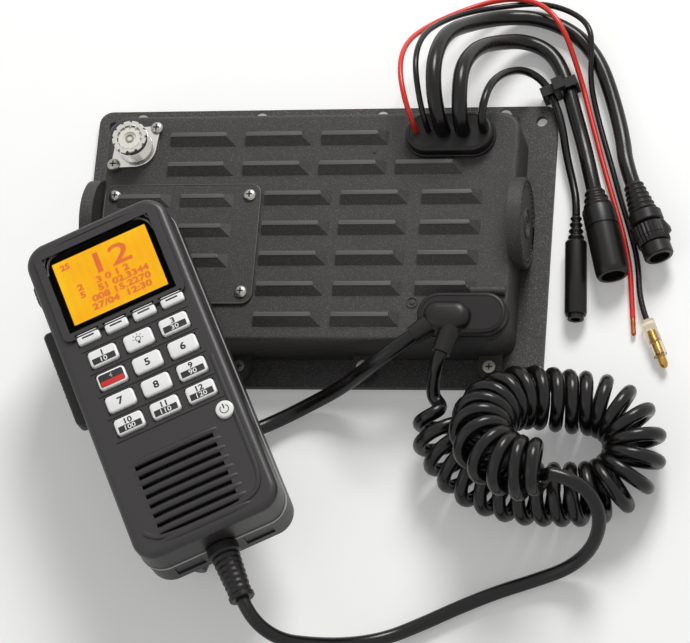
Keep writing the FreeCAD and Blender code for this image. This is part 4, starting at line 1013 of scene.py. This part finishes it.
LOOSE_PITCH, TIGHT_PITCH, OPEN_PITCH = 7.7, 6.5, 10
OVERRUN, RISE, FALL = 4, 16, 8
STEP = 0.3
BEND_SPAN = 30


def ease(share):
    """A share from 0 to 1 that starts and stops gently."""
    return share * share * (3 - 2 * share)


def nearest(line, point):
    """The index of the point of a line that lies nearest to a point."""
    return int(np.argmin(np.linalg.norm(line - np.asarray(point), axis=1)))


def curled(route):
    """Helix about the guide: point = guide(s) + r(s) (side cos a + other sin a).

    The angle a grows by a full turn for each pitch. At both ends the curl's radius and the
    angle's growth ease in together, so the cord swings out before it turns."""
    guide = even(line_of(route), STEP)
    ways, side, other = frames_along(guide)
    first, last = nearest(guide, COIL_FROM), nearest(guide, COIL_TO)
    s = np.arange(len(guide)) * STEP
    start, end = s[first] - OVERRUN, s[last] + OVERRUN
    bend = np.linalg.norm(np.gradient(ways, STEP, axis=0), axis=1)
    bend = np.convolve(bend, np.ones(BEND_SPAN) / BEND_SPAN, mode="same")
    share = np.clip((s - start) / (end - start), 0, 1)
    pitch = LOOSE_PITCH + (TIGHT_PITCH - LOOSE_PITCH) * share
    pitch = np.clip(pitch * (1 + 1.5 * bend), TIGHT_PITCH, OPEN_PITCH)
    pace = ease(np.clip((s - start) / RISE, 0, 1)) * ease(np.clip((end - s) / FALL, 0, 1))
    angle = np.cumsum(pace * 2 * np.pi * STEP / pitch)
    reach = CURL_RADIUS * pace
    wave = side * np.cos(angle)[:, None] + other * np.sin(angle)[:, None]
    print("curls:", round(float(angle[-1] / (2 * np.pi)), 1))
    return guide + reach[:, None] * wave


cord_line = curled(CORD_ROUTE)
cord_line[-1] = CORD_ROUTE[-1]
curly = piece("curly_cord_wound", [tube(cord_line, CORD_RADIUS, 12)], "curl", body=None,
              replaces=("curly_cord", "cord_leads"), smooth=80)
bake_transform(curly)
print("curly cord", round(length_of(cord_line), 2), "m")

# %% [markdown]
# Each connector is turned about the last stretch of its cable: a ribbed relief, a body and a
# nose. A wave on the profile gives the ribs, and a wave round the axis gives the coupling ring
# its grip and its two wings.

# %% Connectors
ENDS = {"power_cable": (0.36, -0.933, 0), "network_cable": (0.25, -0.968, 0),
        "alarm_cable": (0.05, -0.999, 0), "red_wire": (0.1, -0.995, 0),
        "black_wire": (0.38, -0.925, 0), "accessory_lead": (-0.3, -0.954, 0)}


def end_of(cable):
    """The place and the unit way of a cable's end."""
    return np.array(ROUTES[cable][-1], float), unit(ENDS[cable])


def onto(profile, steps):
    """A profile lengthened by steps of distance and radius, counted from the profile's end."""
    last = profile[-1][0]
    return profile + [(last + d, r) for d, r in steps]


def make_connector(cable, node, profile, body="root", slot="black_rubber", ripple=None, start=0.0,
                   sides=48):
    """A turned connector at the end of a cable, in place of its plain solid."""
    at, way = end_of(cable)
    return turned(node, [lathe(at + way * start, way, profile, sides, ripple)], "moulding", slot,
                  body)


power_plug = make_connector("power_cable", "power_connector", onto(
    waved(15, 4.4, 6.6, 6, 0.8), [(0.3, 7.1), (0.8, 7.6), (5.0, 7.6), (5.6, 7.0), (6, 5.8),
                                  (16.2, 5.8), (16.3, 6.6), (21.2, 6.6), (22, 6.0), (22, 4.6),
                                  (19, 4.4)]))


def winged(d, t):
    """Grip teeth all round and two wings, one each side."""
    wings = 1.1 * np.exp(-((np.cos(t) ** 2 - 1) / 0.05) ** 2)
    return 0.22 * np.cos(26 * t) + wings * (d > 0.6) * (d < 5.5)


ring = make_connector("power_cable", "power_coupling_ring",
                      [(0, 6.2), (0, 7.1), (0.5, 7.6), (3, 7.6), (5.4, 7.6), (5.8, 7.2), (8.5, 7.2),
                       (9, 6.9), (9, 6.1)], "coupling_ring", "black_rubber", winged, 21.5, 104)
network_plug = make_connector("network_cable", "network_connector", onto(
    waved(9, 4.2, 6.6, 3, 0.6), [(0.6, 7.2), (1.4, 7.4), (9, 7.4), (9.3, 6.9), (10.3, 6.9),
                                 (10.6, 7.4), (30, 7.4), (32, 7.2), (33, 6.6), (33, 5.2),
                                 (29, 5.0)]))
alarm_plug = make_connector("alarm_cable", "alarm_connector", onto(
    waved(12, 2.4, 3.8, 4, 0.9), [(0.5, 4.3), (1.2, 4.8), (34, 4.9), (35, 4.5), (35, 3.7),
                                  (37, 3.6), (37, 2.2), (30, 2.0)]))
inline_plug = make_connector("accessory_lead", "accessory_connector", onto(
    waved(14, 4.6, 7.5, 4, 0.6), [(0.5, 10.2), (1, 11), (9.5, 11), (10, 14.2), (10.6, 14.9),
                                  (24.4, 14.9), (25, 14.3), (25.2, 11), (31.5, 11), (32, 10.4)]))


def make_terminals():
    """The brass bullet of the black wire and the bare copper end of the red one."""
    at, way = end_of("black_wire")
    bullet = lathe(at + 11 * way, way, [(-6, 1.2), (-2, 1.3), (0, 1.7), (0.5, 1.9), (6, 1.9),
                                        (6.3, 1.55), (7.2, 1.55), (7.5, 1.85), (10.4, 1.8),
                                        (11.4, 1.4), (12, 0.8)], 28)
    stub = lathe(*end_of("red_wire"), [(-1, 0.9), (0, 1.05), (3.4, 1.1), (4, 1.0), (7.4, 1.1),
                                       (8, 0.6)], 18)
    return turned("wire_terminals", [bullet, stub], ["brass", "copper"], "brass_contact")


terminals = make_terminals()
print("connectors made")

# %% [markdown]
# A table lists, for each cable, the pieces that hang on its end. The length of each route is
# worked out from its points, but the value is not kept.

CONNECTORS = {"power_cable": [power_plug, ring], "network_cable": [network_plug, "cable_tie"],
              "alarm_cable": [alarm_plug], "black_wire": ["bullet_sleeve", terminals],
              "red_wire": [], "accessory_lead": [inline_plug]}


def declare(names):
    """Work out the length of each cable's route from its points; the value is not kept."""
    for name, ends in names.items():
        route_points = ROUTES[name]
        round(length_of(line_of(route_points)), 3)


declare(CONNECTORS)
print("cords declared:", len(CONNECTORS) + 1)
